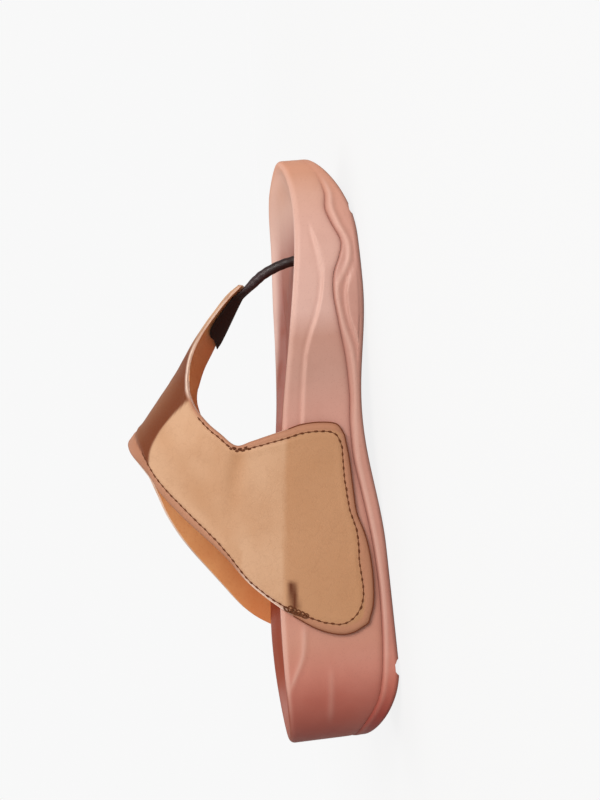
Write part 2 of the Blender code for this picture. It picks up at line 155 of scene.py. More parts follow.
def add_grid(name: str, columns: int, rows: int) -> Piece:
    """Adds a flat grid, the blank of a sheet or of a rolled shell.

    Args:
        name: The piece's name.
        columns: Cells along X.
        rows: Cells along Y.

    Returns:
        The grid, whose vertices run along X first.
    """
    deselect_all()
    bpy.ops.mesh.primitive_grid_add(x_subdivisions=columns, y_subdivisions=rows, size=0.2)
    blank = bpy.context.active_object
    blank.name = blank.data.name = name
    deselect_all()
    return blank


def place_rows(blank: Piece, rows: Sequence[Sequence[Vector]]) -> None:
    """Moves a grid's vertices to rows of points given in millimetres."""
    places = np.array([tuple(point) for row in rows for point in row], dtype=np.float64) * MM
    blank.data.vertices.foreach_set("co", places.ravel())
    blank.data.update()


@contextmanager
def edit_mode(piece: Piece) -> Iterator[None]:
    """Holds a piece in edit mode with its whole mesh selected.

    Args:
        piece: The piece.

    Yields:
        Nothing, while the piece is in edit mode.
    """
    pick(piece)
    bpy.ops.object.mode_set(mode="EDIT")
    bpy.ops.mesh.select_all(action="SELECT")
    yield
    bpy.ops.object.mode_set(mode="OBJECT")


def roll_shell(name: str, rings: Sequence[Sequence[Vector]]) -> Piece:
    """Rolls a grid into a closed shell.

    Args:
        name: The piece's name.
        rings: Rings of points in millimetres, each ending where it starts.

    Returns:
        The shell, with its faces outwards.
    """
    shell = add_grid(name, len(rings[0]) - 1, len(rings) - 1)
    place_rows(shell, rings)
    with edit_mode(shell):
        bpy.ops.mesh.remove_doubles(threshold=MERGE)
        bpy.ops.mesh.dissolve_degenerate(threshold=0.1 * MERGE)
        bpy.ops.mesh.normals_make_consistent(inside=False)
    return shell


def apply_modifier(piece: Piece, kind: str, **settings: object) -> None:
    """Adds one modifier to a piece and applies it.

    Args:
        piece: The piece.
        kind: The modifier's type.
        **settings: Values for the modifier's own settings.
    """
    modifier = piece.modifiers.new(kind.lower(), kind)
    for key, value in settings.items():
        setattr(modifier, key, value)
    pick(piece)
    bpy.ops.object.modifier_apply(modifier=modifier.name)


def carve(piece: Piece, cutter: Piece) -> None:
    """Cuts a cutter's shape out of a piece and throws the cutter away."""
    apply_modifier(piece, "BOOLEAN", operation="DIFFERENCE", solver="EXACT", object=cutter)
    pick(cutter)
    bpy.ops.object.delete()


def shade(piece: Piece, angle: float = 35.0) -> None:
    """Smooth shading with sharp edges above an angle in degrees."""
    pick(piece)
    bpy.ops.object.shade_smooth_by_angle(angle=math.radians(angle))


def mark(piece: Piece, name: str, values: Sequence[float]) -> None:
    """Stores one number for each vertex under a name that a material can read."""
    layer = piece.data.attributes.new(name, "FLOAT", "POINT")
    layer.data.foreach_set("value", np.asarray(values, dtype=np.float32))


def vertex_places(piece: Piece) -> np.ndarray:
    """Places of a piece's vertices in millimetres, one row each."""
    places = np.empty(len(piece.data.vertices) * 3)
    piece.data.vertices.foreach_get("co", places)
    return places.reshape(-1, 3) / MM


def vertex_normals(piece: Piece) -> np.ndarray:
    """Normals of a piece's vertices, one row each."""
    return np.array([tuple(vertex.normal) for vertex in piece.data.vertices])


def tint(piece: Piece, shares: Tints) -> None:
    """Marks how much painted groove shade, painted ridge highlight and painted shade inside the dish a moulded
    piece takes.

    Args:
        piece: The piece.
        shares: The three shares as a function of x, y, z and how far the face is from upright.
    """
    level = np.abs(vertex_normals(piece)[:, 2])
    rows = [shares(*place, flat) for place, flat in zip(vertex_places(piece), level)]
    for name, values in zip(("groove", "ridge", "inside"), zip(*rows)):
        mark(piece, name, values)


def hand_over(piece: Piece, slot: str, *nodes: str) -> None:
    """Rides a finished piece on the shoe's body and hides the CAD nodes that it stands for.

    Args:
        piece: The piece.
        slot: Its slot, not used.
        *nodes: The CAD nodes.
    """
    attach(piece, BODY)
    if nodes:
        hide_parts(*nodes)
    LOG.info("%s: %d faces", piece.name, len(piece.data.polygons))


# ---- shader boards ----


class Board:
    """Puts nodes into one shader tree and wires them."""

    def __init__(self, tree: Tree) -> None:
        """Takes a tree and empties it."""
        self.tree = tree
        tree.nodes.clear()

    def node(self, kind: str, inputs: dict | None = None, **settings: object) -> Node:
        """Adds one node.

        Args:
            kind: The node's type.
            inputs: Socket name or index to a constant, or to the socket that feeds it.
            **settings: Values for the node's own settings.

        Returns:
            The node.
        """
        made = self.tree.nodes.new(kind)
        for key, value in settings.items():
            setattr(made, key, value)
        for key, value in (inputs or {}).items():
            if isinstance(value, Socket):
                self.tree.links.new(value, made.inputs[key])
            else:
                made.inputs[key].default_value = value
        return made

    def math(self, operation: str, *values: object) -> Socket:
        """Result of a Math node on constants or sockets."""
        return self.node("ShaderNodeMath", dict(enumerate(values)), operation=operation).outputs[0]

    def blend(self, share: object, first: object, second: object, mode: str = "MIX") -> Socket:
        """Colour between two colours.

        Args:
            share: 0 for the first and 1 for the second.
            first: A colour or socket.
            second: A colour or socket.
            mode: The Mix node's blend type.

        Returns:
            The mixed colour's socket.
        """
        made = self.node("ShaderNodeMix", {0: share, 6: first, 7: second}, data_type="RGBA", blend_type=mode)
        return made.outputs[2]

    def between(self, value: object, low: float, high: float) -> Socket:
        """Soft share from 0 at low to 1 at high."""
        sockets = {"Value": value, "From Min": low, "From Max": high}
        return self.node("ShaderNodeMapRange", sockets, interpolation_type="SMOOTHSTEP").outputs[0]

    def attribute(self, name: str) -> Socket:
        """A number stored on the piece's vertices."""
        return self.node("ShaderNodeAttribute", attribute_name=name).outputs["Fac"]

    def effect(self, group: Tree, inputs: dict) -> Node:
        """Places a shared effect with its own values."""
        return self.node("ShaderNodeGroup", inputs, node_tree=group)

    def times(self, value: object, factor: object) -> Socket:
        """Product of two numbers or sockets."""
        return self.math("MULTIPLY", value, factor)

    def drift(
        self, tone: Tree, place: object, tones: Sequence[object], scale: float, amount: float
    ) -> Socket:
        """Colour that drifts in clouds.

        Args:
            tone: The shared drift effect.
            place: Socket of the place on the piece.
            tones: The base, darker and paler colour or socket.
            scale: Fineness of the clouds.
            amount: How far the colour drifts.

        Returns:
            The colour's socket.
        """
        sockets = dict(zip(("Base", "Darker", "Paler"), tones), Place=place, Scale=scale, Amount=amount)
        return self.effect(tone, sockets).outputs[0]

    def object_place(self) -> Socket:
        """The place on the piece in metres."""
        return self.node("ShaderNodeTexCoord").outputs["Object"]

    def speckle(self, place: object, scale: object, detail: float = 3.0) -> Socket:
        """Cloudy noise from 0 to 1."""
        return self.node("ShaderNodeTexNoise", {"Vector": place, "Scale": scale, "Detail": detail}).outputs[0]


def effect_group(name: str, inputs: dict[str, str], outputs: dict[str, str]) -> tuple[Tree, Board, object]:
    """Starts a shared effect as a node group.

    Args:
        name: The group's name.
        inputs: Kind of each input socket by its name.
        outputs: Kind of each output socket by its name.

    Returns:
        The group, its board and the sockets of its inputs.
    """
    group = bpy.data.node_groups.new(name, "ShaderNodeTree")
    for way, sockets in (("INPUT", inputs), ("OUTPUT", outputs)):
        for socket, kind in sockets.items():
            group.interface.new_socket(name=socket, in_out=way, socket_type=f"NodeSocket{kind}")
    board = Board(group)
    return group, board, board.node("NodeGroupInput").outputs


class Effects:
    """Surface effects that more than one finish uses, each built once."""

    def __init__(self) -> None:
        """Builds the groups."""
        self.tone = self.tone_drift()
        self.moulded = self.moulded_skin()
        self.hide = self.hide_grain()

    @staticmethod
    def tone_drift() -> Tree:
        """Cloudy drift of a colour towards a darker and a paler one.

        Returns:
            The node group.
        """
        sockets = {"Place": "Vector", **dict.fromkeys(("Base", "Darker", "Paler"), "Color")}
        sockets.update(Scale="Float", Amount="Float")
        group, board, out = effect_group("tone_drift", sockets, {"Colour": "Color"})
        cloud = board.speckle(out["Place"], out["Scale"], 4.0)
        finer = board.speckle(out["Place"], board.times(out["Scale"], 5.3), 3.0)
        dark = board.times(board.between(cloud, 0.5, 0.3), out["Amount"])
        pale = board.times(board.between(cloud, 0.5, 0.72), out["Amount"])
        fine_dark = board.times(board.between(finer, 0.52, 0.3), out["Amount"])
        colour = board.blend(dark, out["Base"], out["Darker"])
        colour = board.blend(pale, colour, out["Paler"])
        colour = board.blend(board.times(fine_dark, 0.35), colour, out["Darker"])
        board.node("NodeGroupOutput", {"Colour": colour})
        return group

    @staticmethod
    def moulded_skin() -> Tree:
        """Fine pitted skin of moulded foam rubber.

        Returns:
            The node group.
        """
        group, board, out = effect_group(
            "moulded_skin", {"Place": "Vector", "Pits": "Float"}, {"Height": "Float", "Pit": "Float"}
        )
        fine = board.speckle(out["Place"], out["Pits"], 2.0)
        broad = board.speckle(out["Place"], board.times(out["Pits"], 0.16), 2.0)
        height = board.math("ADD", board.times(fine, 0.45), board.times(broad, 0.55))
        pit = board.between(fine, 0.42, 0.28)
        board.node("NodeGroupOutput", {"Height": height, "Pit": pit})
        return group

    @staticmethod
    def hide_grain() -> Tree:
        """Pebbled grain of a hide with fine creases and pores.

        Returns:
            The node group.
        """
        group, board, out = effect_group(
            "hide_grain", {"Place": "Vector", "Cells": "Float", "Creases": "Float"},
            {"Height": "Float", "Pore": "Float", "Crease": "Float"},
        )
        sockets = {"Vector": out["Place"], "Scale": out["Cells"]}
        cells = board.node("ShaderNodeTexVoronoi", sockets, feature="DISTANCE_TO_EDGE").outputs[0]
        pebble = board.between(cells, 0.0, 0.18)
        cloud = board.speckle(out["Place"], out["Creases"], 6.0)
        crease = board.between(board.math("ABSOLUTE", board.math("SUBTRACT", cloud, 0.5)), 0.02, 0.0)
        pores = board.speckle(out["Place"], board.times(out["Cells"], 1.7), 1.0)
        pore = board.between(pores, 0.36, 0.26)
        height = board.math("SUBTRACT", board.times(pebble, 0.6), board.times(pore, 0.5))
        height = board.math("SUBTRACT", height, board.times(crease, 0.25))
        board.node("NodeGroupOutput", {"Height": height, "Pore": pore, "Crease": crease})
        return group


def new_material(name: str) -> tuple[Material, Board]:
    """An empty material and the board of its tree."""
    material = bpy.data.materials.new(name)
    material.use_nodes = True
    return material, Board(material.node_tree)


def finish_shader(
    board: Board, colour: object, roughness: object, height: object, depth: float, **plain: float
) -> None:
    """Ends a board with a bump, a Principled shader and the output.

    Args:
        board: The material's board.
        colour: Base colour or its socket.
        roughness: Roughness or its socket.
        height: Socket of the bump's height.
        depth: The bump's full height in millimetres.
        **plain: Constants for further shader sockets, with _ for a space.
    """
    bump = board.node("ShaderNodeBump", {"Height": height, "Strength": 1.0, "Distance": depth * MM})
    sockets = {"Base Color": colour, "Roughness": roughness, "Normal": bump.outputs[0]}
    sockets.update({key.replace("_", " "): value for key, value in plain.items()})
    shader = board.node("ShaderNodeBsdfPrincipled", sockets)
    board.node("ShaderNodeOutputMaterial", {"Surface": shader.outputs[0]})


# ---- finishes ----


@dataclass(frozen=True)
class FoamFinish:
    """Pink moulded foam rubber: a dull skin, tones along the sole with painted shade at the heel end, painted
    highlights on ridges, painted shade in grooves and in the dish.
    """

    name: str
    tones: tuple[tuple[float, Colour], ...]
    # paler: the foam's paler tone, also the colour of the painted highlights on ridges and the rim's crest
    paler: Colour
    # groove: colour of the painted shade in the seams and along the floor edge; it also darkens the skin's pits
    groove: Colour
    # inside: colour of the painted shade in the dish, warmed as a painted reflection of the orange lining
    inside: Colour
    half_length: float = 125.0
    roughness: float = 0.5

    def along(self, board: Board, place: Socket) -> Socket:
        """Tone of the foam by its place between heel and toe, with painted shade towards the heel end and painted
        light at the toe end.

        Args:
            board: The material's board.
            place: Socket of the place on the piece.

        Returns:
            The tone's socket.
        """
        x = board.node("ShaderNodeSeparateXYZ", {0: place}).outputs[0]
        share = board.math("MULTIPLY_ADD", x, 0.5 / (self.half_length * MM), 0.5)
        ramp = board.node("ShaderNodeValToRGB", {0: share})
        stops = ramp.color_ramp.elements
        for x_stop, tone in self.tones[1:-1]:
            stops.new(0.5 + 0.5 * x_stop / self.half_length).color = tone
        stops[0].color, stops[-1].color = self.tones[0][1], self.tones[-1][1]
        return ramp.outputs[0]

    def make(self, effects: Effects) -> Material:
        """Makes the material.

        Args:
            effects: The shared effects.

        Returns:
            The material.
        """
        material, board = new_material(self.name)
        place = board.object_place()
        # Painted shade inside the dish, warm as a painted reflection of the lining.
        base = board.blend(board.attribute("inside"), self.along(board, place), self.inside)
        darker = board.blend(1.0, base, (0.86, 0.8, 0.78, 1), "MULTIPLY")
        paler = board.blend(0.25, base, self.paler)
        colour = board.drift(effects.tone, place, (base, darker, paler), 22.0, 0.45)
        skin = board.effect(effects.moulded, {"Place": place, "Pits": 1900.0})
        # Painted shade in the open seam and along the foot of the outsole's wall.
        colour = board.blend(board.attribute("groove"), colour, self.groove)
        # Painted highlights along the relief's ridges and the rim's crest.
        colour = board.blend(board.times(board.attribute("ridge"), 0.5), colour, self.paler)
        colour = board.blend(board.times(skin.outputs["Pit"], 0.15), colour, self.groove)
        scuff = board.between(board.speckle(place, 60.0, 5.0), 0.45, 0.7)
        roughness = board.math("ADD", board.times(scuff, 0.12), self.roughness - 0.05)
        finish_shader(board, colour, roughness, skin.outputs["Height"], 0.05, Specular_IOR_Level=0.28)
        return material


@dataclass(frozen=True)
class HideFinish:
    """Vegetable-tanned hide: drifting tan, pores, fine creases, a pinker seam margin and a dark crown."""

    name: str
    base: Colour
    darker: Colour
    paler: Colour
    margin: Colour
    crown: Colour
    stain: Colour
    raw: Colour
    roughness: float = 0.54

    def make(self, effects: Effects) -> Material:
        """Makes the material.

        Args:
            effects: The shared effects.

        Returns:
            The material.
        """
        material, board = new_material(self.name)
        place = board.object_place()
        colour = board.drift(effects.tone, place, (self.base, self.darker, self.paler), 20.0, 0.45)
        grain = board.effect(effects.hide, {"Place": place, "Cells": 1500.0, "Creases": 150.0})
        layers = {
            "fold_shade": self.darker, "crown_shade": self.crown, "margin": self.margin,
            "burnish": self.crown, "stain": self.stain, "raw_edge": self.raw,
        }
        for name, tone in layers.items():
            colour = board.blend(board.attribute(name), colour, tone)
        marks = board.times(grain.outputs["Pore"], 0.12)
        marks = board.math("MAXIMUM", marks, board.times(grain.outputs["Crease"], 0.07))
        colour = board.blend(marks, colour, self.crown)
        roughness = board.math("ADD", board.times(grain.outputs["Pore"], 0.2), self.roughness)
        finish_shader(board, colour, roughness, grain.outputs["Height"], 0.05, Specular_IOR_Level=0.2)
        return material


@dataclass(frozen=True)
class NapFinish:
    """Matt napped leather, as on a lining or a raw cut edge, with fibres along one direction and a darker layer
    that is painted shade on the lining and, on the cut edge, partly painted shadow-gap shade.
    """

    name: str
    base: Colour
    darker: Colour
    paler: Colour
    # Darker layer: on the lining it is painted shade; on the cut edge it darkens the lower edge, partly the edge's
    # own wax, partly painted shadow-gap shade.
    waxed: Colour
    shaded_by: str = "waxed"
    mottling: float = 0.9
    fibres: float = 900.0
    depth: float = 0.08
    roughness: float = 0.8

    def make(self, effects: Effects) -> Material:
        """Makes the material.

        Args:
            effects: The shared effects.

        Returns:
            The material.
        """
        material, board = new_material(self.name)
        place = board.object_place()
        colour = board.drift(effects.tone, place, (self.base, self.darker, self.paler), 34.0, self.mottling)
        nap = board.speckle(place, self.fibres, 4.0)
        tuft = board.speckle(place, self.fibres * 0.3, 3.0)
        colour = board.blend(board.times(board.between(nap, 0.5, 0.3), 0.4), colour, self.darker)
        colour = board.blend(board.attribute(self.shaded_by), colour, self.waxed)
        height = board.math("ADD", board.times(nap, 0.6), board.times(tuft, 0.4))
        roughness = board.math("ADD", board.times(nap, 0.15), self.roughness - 0.08)
        finish_shader(board, colour, roughness, height, self.depth, Sheen_Weight=0.15, Specular_IOR_Level=0.3)
        return material


@dataclass(frozen=True)
class ThreadFinish:
    """Waxed brown thread with the slant of its twist."""

    name: str
    base: Colour
    paler: Colour

    def make(self, effects: Effects) -> Material:
        """Makes the material.

        Args:
            effects: The shared effects.

        Returns:
            The material.
        """
        material, board = new_material(self.name)
        place = board.object_place()
        sockets = {"Vector": place, "Scale": 900.0, "Distortion": 1.5, "Detail": 1.0}
        twist = board.node("ShaderNodeTexWave", sockets, bands_direction="DIAGONAL").outputs["Fac"]
        fluff = board.effect(effects.moulded, {"Place": place, "Pits": 2600.0}).outputs["Height"]
        colour = board.blend(board.times(twist, 0.5), self.base, self.paler)
        colour = board.blend(board.times(board.between(fluff, 0.5, 0.8), 0.4), colour, self.paler)
        finish_shader(board, colour, 0.75, twist, 0.05, Specular_IOR_Level=0.15)
        return material


@dataclass(frozen=True)
class CordFinish:
    """Dark polished leather on the toe post, cracked and rubbed, with a matt tail."""

    name: str
    base: Colour
    worn: Colour
    tail: Colour
    roughness: float = 0.36

    def make(self, effects: Effects) -> Material:
        """Makes the material.

        Args:
            effects: The shared effects.

        Returns:
            The material.
        """
        material, board = new_material(self.name)
        place = board.object_place()
        colour = board.drift(effects.tone, place, (self.base, self.tail, self.worn), 70.0, 0.8)
        grain = board.effect(effects.hide, {"Place": place, "Cells": 1500.0, "Creases": 420.0})
        rubbed = board.times(board.attribute("rubbed"), board.between(grain.outputs[0], 0.2, 0.6))
        colour = board.blend(board.times(rubbed, 0.6), colour, self.worn)
        colour = board.blend(board.attribute("tail"), colour, self.tail)
        colour = board.blend(board.times(grain.outputs["Crease"], 0.5), colour, self.tail)
        roughness = board.math("ADD", board.times(board.attribute("tail"), 0.35), self.roughness)
        finish_shader(board, colour, roughness, grain.outputs["Height"], 0.05, Specular_IOR_Level=0.45)
        return material


# ---- form of the shoe ----


@dataclass(frozen=True)
class SoleForm:
    """Outline, heights and underside of the wedge sole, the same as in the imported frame."""

    heel_end: float = -125.0
    toe_end: float = 125.0
    heel_radius: float = 31.0
    toe_rounding: float = 60.0
    gap: float = 0.3
    middle_line: Table = ((-125, 0), (-60, 0), (0, 2), (50, 1), (90, -4.5), (125, -9.5))
    medial_breadth: Table = ((-125, 30.5), (-60, 31), (-20, 32.5), (20, 37.5), (50, 42.6), (75, 42.3), (125, 38))
    lateral_breadth: Table = ((-125, 31), (-60, 33), (-20, 36.2), (20, 40.8), (50, 42.7), (75, 43.2), (125, 42))
    medial_rim: Table = (
        (-125, 46.8), (-95, 47.4), (-60, 46.2), (-20, 42.2), (15, 37.6), (45, 32.3),
        (72, 27.8), (90, 25.7), (104, 25.1), (116, 26.0), (125, 28.2),
    )
    lateral_rim: Table = (
        (-125, 46.8), (-95, 48.0), (-74, 47.4), (-40, 43.4), (9, 35.9), (25, 33.8),
        (48, 32.0), (70, 31.0), (92, 30.1), (114, 30.2), (125, 28.2),
    )
    bed_depth: Table = (
        (-125, 4.0), (-90, 5.0), (-40, 4.6), (10, 4.2), (50, 4.2), (74, 3.6), (90, 3.0), (108, 2.0), (125, 1.2),
    )
    seam: Table = (
        (-125, 20.0), (-117, 15.5), (-107, 10.2), (-97, 7.8), (-84, 6.2), (-64, 5.2), (-46, 5.6), (-32, 6.8),
        (-18, 8.6), (-6, 10.2), (8, 10.3), (20, 9.5), (35, 10.0), (50, 11.9), (61, 12.9), (69, 12.0),
        (76, 9.0), (82, 7.6), (90, 10.4), (97, 12.2), (104, 11.4), (114, 13.4), (125, 18.5),
    )
    heel_flat_end: float = -92.0
    heel_lift: float = 13.0
    toe_flat_end: float = 84.0
    toe_lift: float = 14.0
    arch_middle: float = 10.0
    arch_half_length: float = 55.0
    arch_medial: float = 4.9
    arch_lateral: float = 2.2
    half_breadth: float = 43.0
    heel_core: float = 32.0
    toe_core: float = 46.0

    def end_rounding(self, x: float) -> float:
        """Share of the breadth that the round heel and toe leave at x.

        Args:
            x: Place along the sole.

        Returns:
            The share, 0 at both ends.
        """
        heel = (self.heel_end + self.heel_radius - x) / self.heel_radius
        toe = (x - self.toe_end + self.toe_rounding) / self.toe_rounding
        over = min(1.0, max(0.0, heel, toe))
        return math.sqrt(1 - over * over)

    def side_y(self, x: float, side: Side) -> float:
        """Y of the outline at x on one side."""
        breadth = curve(self.medial_breadth if side is Side.MEDIAL else self.lateral_breadth, x)
        return curve(self.middle_line, x) + side.value * breadth * self.end_rounding(x)

    def rim(self, x: float, y: float) -> float:
        """Height of the rim's crest, blended across the bed."""
        low, high = self.side_y(x, Side.MEDIAL), self.side_y(x, Side.LATERAL)
        share = soft((y - low) / max(high - low, 0.001))
        return curve(self.medial_rim, x) * (1 - share) + curve(self.lateral_rim, x) * share

    def seam_height(self, x: float) -> float:
        """Height of the waved seam between outsole and footbed."""
        return curve(self.seam, x)

    @staticmethod
    def seam_depth(x: float) -> float:
        """How open the seam shows: fully along the sides and hardly round the toe and heel ends."""
        return (1 - 0.9 * soft((x - 100.0) / 16.0)) * (1 - 0.5 * soft((-96.0 - x) / 14.0))

    def under(self, x: float, y: float) -> float:
        """Height of the underside: zero on the heel and forefoot flats.

        Args:
            x: Place along the sole.
            y: Place across it.

        Returns:
            The height.
        """
        if x < self.heel_flat_end:
            return self.heel_lift * ((self.heel_flat_end - x) / (self.heel_flat_end - self.heel_end)) ** 2
        if x > self.toe_flat_end:
            return self.toe_lift * ((x - self.toe_flat_end) / (self.toe_end - self.toe_flat_end)) ** 2
        reach = (x - self.arch_middle) / self.arch_half_length
        if abs(reach) >= 1:
            return 0.0
        share = (y + self.half_breadth) / (2 * self.half_breadth)
        rise = self.arch_medial + (self.arch_lateral - self.arch_medial) * share
        return rise * math.cos(math.pi / 2 * reach) ** 2

    def bed(self, x: float, y: float, inset: float) -> float:
        """Height of the dished bed: inset is 0 at the rim's crest and 1 on the middle line."""
        return self.rim(x, y) - curve(self.bed_depth, x) * soft(inset / 0.34)

    def stations(self, heel: int, middle: int, toe: int) -> list[float]:
        """X stations from heel to toe, close together round the ends.

        Args:
            heel: Count round the heel.
            middle: Count of steps between.
            toe: Count round the toe.

        Returns:
            The stations.
        """
        start, end = self.heel_end + self.heel_radius, self.toe_end - self.toe_rounding
        back = [self.heel_end + self.heel_radius * (1 - math.cos(math.pi / 2 * i / heel)) for i in range(heel)]
        front = [self.toe_end - self.toe_rounding * (1 - math.cos(math.pi / 2 * i / toe)) for i in range(toe)]
        return back + [start + (end - start) * i / middle for i in range(middle + 1)] + front[::-1]


class Outline:
    """The sole's outline as a closed row of points with outward normals."""

    def __init__(self, form: SoleForm, heel: int = 26, middle: int = 116, toe: int = 40) -> None:
        """Walks the outline: heel end, lateral side, toe end and back along the medial side.

        Args:
            form: The sole's form.
            heel: Stations round the heel.
            middle: Steps between.
            toe: Stations round the toe.
        """
        self.form = form
        stations = form.stations(heel, middle, toe)
        lateral = [Vector((x, form.side_y(x, Side.LATERAL))) for x in stations]
        medial = [Vector((x, form.side_y(x, Side.MEDIAL))) for x in stations[1:-1]]
        self.points = lateral + medial[::-1]
        self.normals = []
        for i in range(len(self.points)):
            along = (self.points[(i + 1) % len(self.points)] - self.points[i - 1]).normalized()
            self.normals.append(Vector((-along.y, along.x)))

    def ring(self, offset: Height | float, height: Height, share: float = 1.0) -> list[Vector]:
        """Closed ring of points at an offset from the outline, drawn in towards the middle line.

        Args:
            offset: Distance outside the outline, plain or as a function of x and y.
            height: Z as a function of x and y.
            share: 1 on the offset outline and 0 on the middle line.

        Returns:
            The ring, whose last point repeats the first.
        """
        made = []
        for point, normal in zip(self.points, self.normals):
            away = offset(point.x, point.y) if callable(offset) else offset
            place = point + normal * away
            if share < 1.0:
                form = self.form
                x = min(form.toe_end - form.toe_core, max(form.heel_end + form.heel_core, point.x))
                middle = Vector((x, curve(self.form.middle_line, x)))
                place = middle + (place - middle) * share
            made.append(Vector((place.x, place.y, height(place.x, place.y))))
        return made + made[:1]

    def wall(self, at: Callable[[float, float], Pair]) -> list[Vector]:
        """Closed ring whose distance outwards and height come together from x and y on the outline.

        Args:
            at: The function.

        Returns:
            The ring, whose last point repeats the first.
        """
        made = []
        for point, normal in zip(self.points, self.normals):
            away, z = at(point.x, point.y)
            place = point + normal * away
            made.append(Vector((place.x, place.y, z)))
        return made + made[:1]


@dataclass(frozen=True)
class Relief:
    """Moulded relief of the side walls, given on the medial side and mirrored on the lateral one."""

    long_ledge: Table = (
        (4, 30.6), (19.2, 28.7), (37, 26.1), (45.6, 23.4), (52, 20.6), (59.8, 18.0),
        (68, 16.5), (77.8, 17.2), (86.2, 18.6), (92, 19.8),
    )
    heel_curve: Table = (
        (-100, 46.5), (-96, 44.9), (-92, 42.9), (-88.8, 41.2), (-84.2, 39.3), (-78.2, 38.2), (-70, 37.6),
    )
    heel_rib: Table = ((-116, 30.4), (-109.4, 30), (-95.7, 28.8), (-88, 28.2))
    lens: Table = ((36, 2.2), (40.1, 4.0), (49.7, 6.9), (58.1, 7.7), (64.4, 6.7), (69, 4.6), (73, 2.0))
    lip_drop: Table = (
        (-125, 1.6), (-20, 1.7), (20, 2.6), (37.7, 2.8), (47.5, 1.7), (55.8, 1.4), (64.8, 2.0), (70.3, 4.3),
        (75.1, 4.3), (82.6, 2.5), (94.8, 2.6), (101.6, 2.3), (112, 1.7), (125, 1.6),
    )

    @staticmethod
    def fade(table: Table, x: float, reach: float = 9.0) -> float:
        """1 along a line and 0 at both its ends."""
        return soft((x - table[0][0]) / reach) * soft((table[-1][0] - x) / reach)

    def ledge(self, table: Table, x: float, z: float, rise: float, sharp: float, tail: float) -> float:
        """A step that stands proud below its line and dies away further down.

        Args:
            table: The line's height along x.
            x: Place along the sole.
            z: Height of the place.
            rise: How far the step stands proud.
            sharp: Half the height of its upper slope.
            tail: Length over which it dies away.

        Returns:
            Distance outwards.
        """
        below = curve(table, x) - z
        step = soft((below + sharp) / (2 * sharp)) * math.exp(-max(below - sharp, 0.0) / tail)
        hollow = -0.3 * mound(below + 2.6 * sharp, 1.6 * sharp)
        return (rise * step + rise * hollow) * self.fade(table, x)

    def footbed(self, x: float, z: float, seam: float) -> float:
        """Distance outwards of the footbed's wall at a place.

        Args:
            x: Place along the sole.
            z: Height.
            seam: Height of the footbed's lower edge.

        Returns:
            The distance.
        """
        away = self.ledge(self.long_ledge, x, z, 0.8, 0.5, 6.5)
        away += 0.5 * mound(z - curve(self.heel_curve, x), 1.5) * self.fade(self.heel_curve, x, 7.0)
        away += 0.2 * mound(z - curve(self.heel_rib, x), 1.7) * self.fade(self.heel_rib, x, 8.0)
        away -= 0.45 * math.exp(-(z - seam) / 1.0) * SoleForm.seam_depth(x)
        return away

    def outsole(self, x: float, z: float, seam: float) -> float:
        """Distance outwards of the outsole's wall at a place.

        Args:
            x: Place along the sole.
            z: Height.
            seam: Height of the seam.

        Returns:
            The distance.
        """
        crest = seam - curve(self.lip_drop, x)
        strong = (0.35 + 0.65 * soft((x - 22) / 16) * soft((112 - x) / 14)) * SoleForm.seam_depth(x)
        away = 0.5 * strong * mound(z - crest, 1.2 if z < crest else 0.9)
        away += self.ledge(self.lens, x, z, 0.85, 0.42, 9.0)
        away -= 0.3 * max(0.0, strong - 0.35) * mound(z - crest + 2.6, 1.2)
        return away


# ---- moulded sole pieces ----


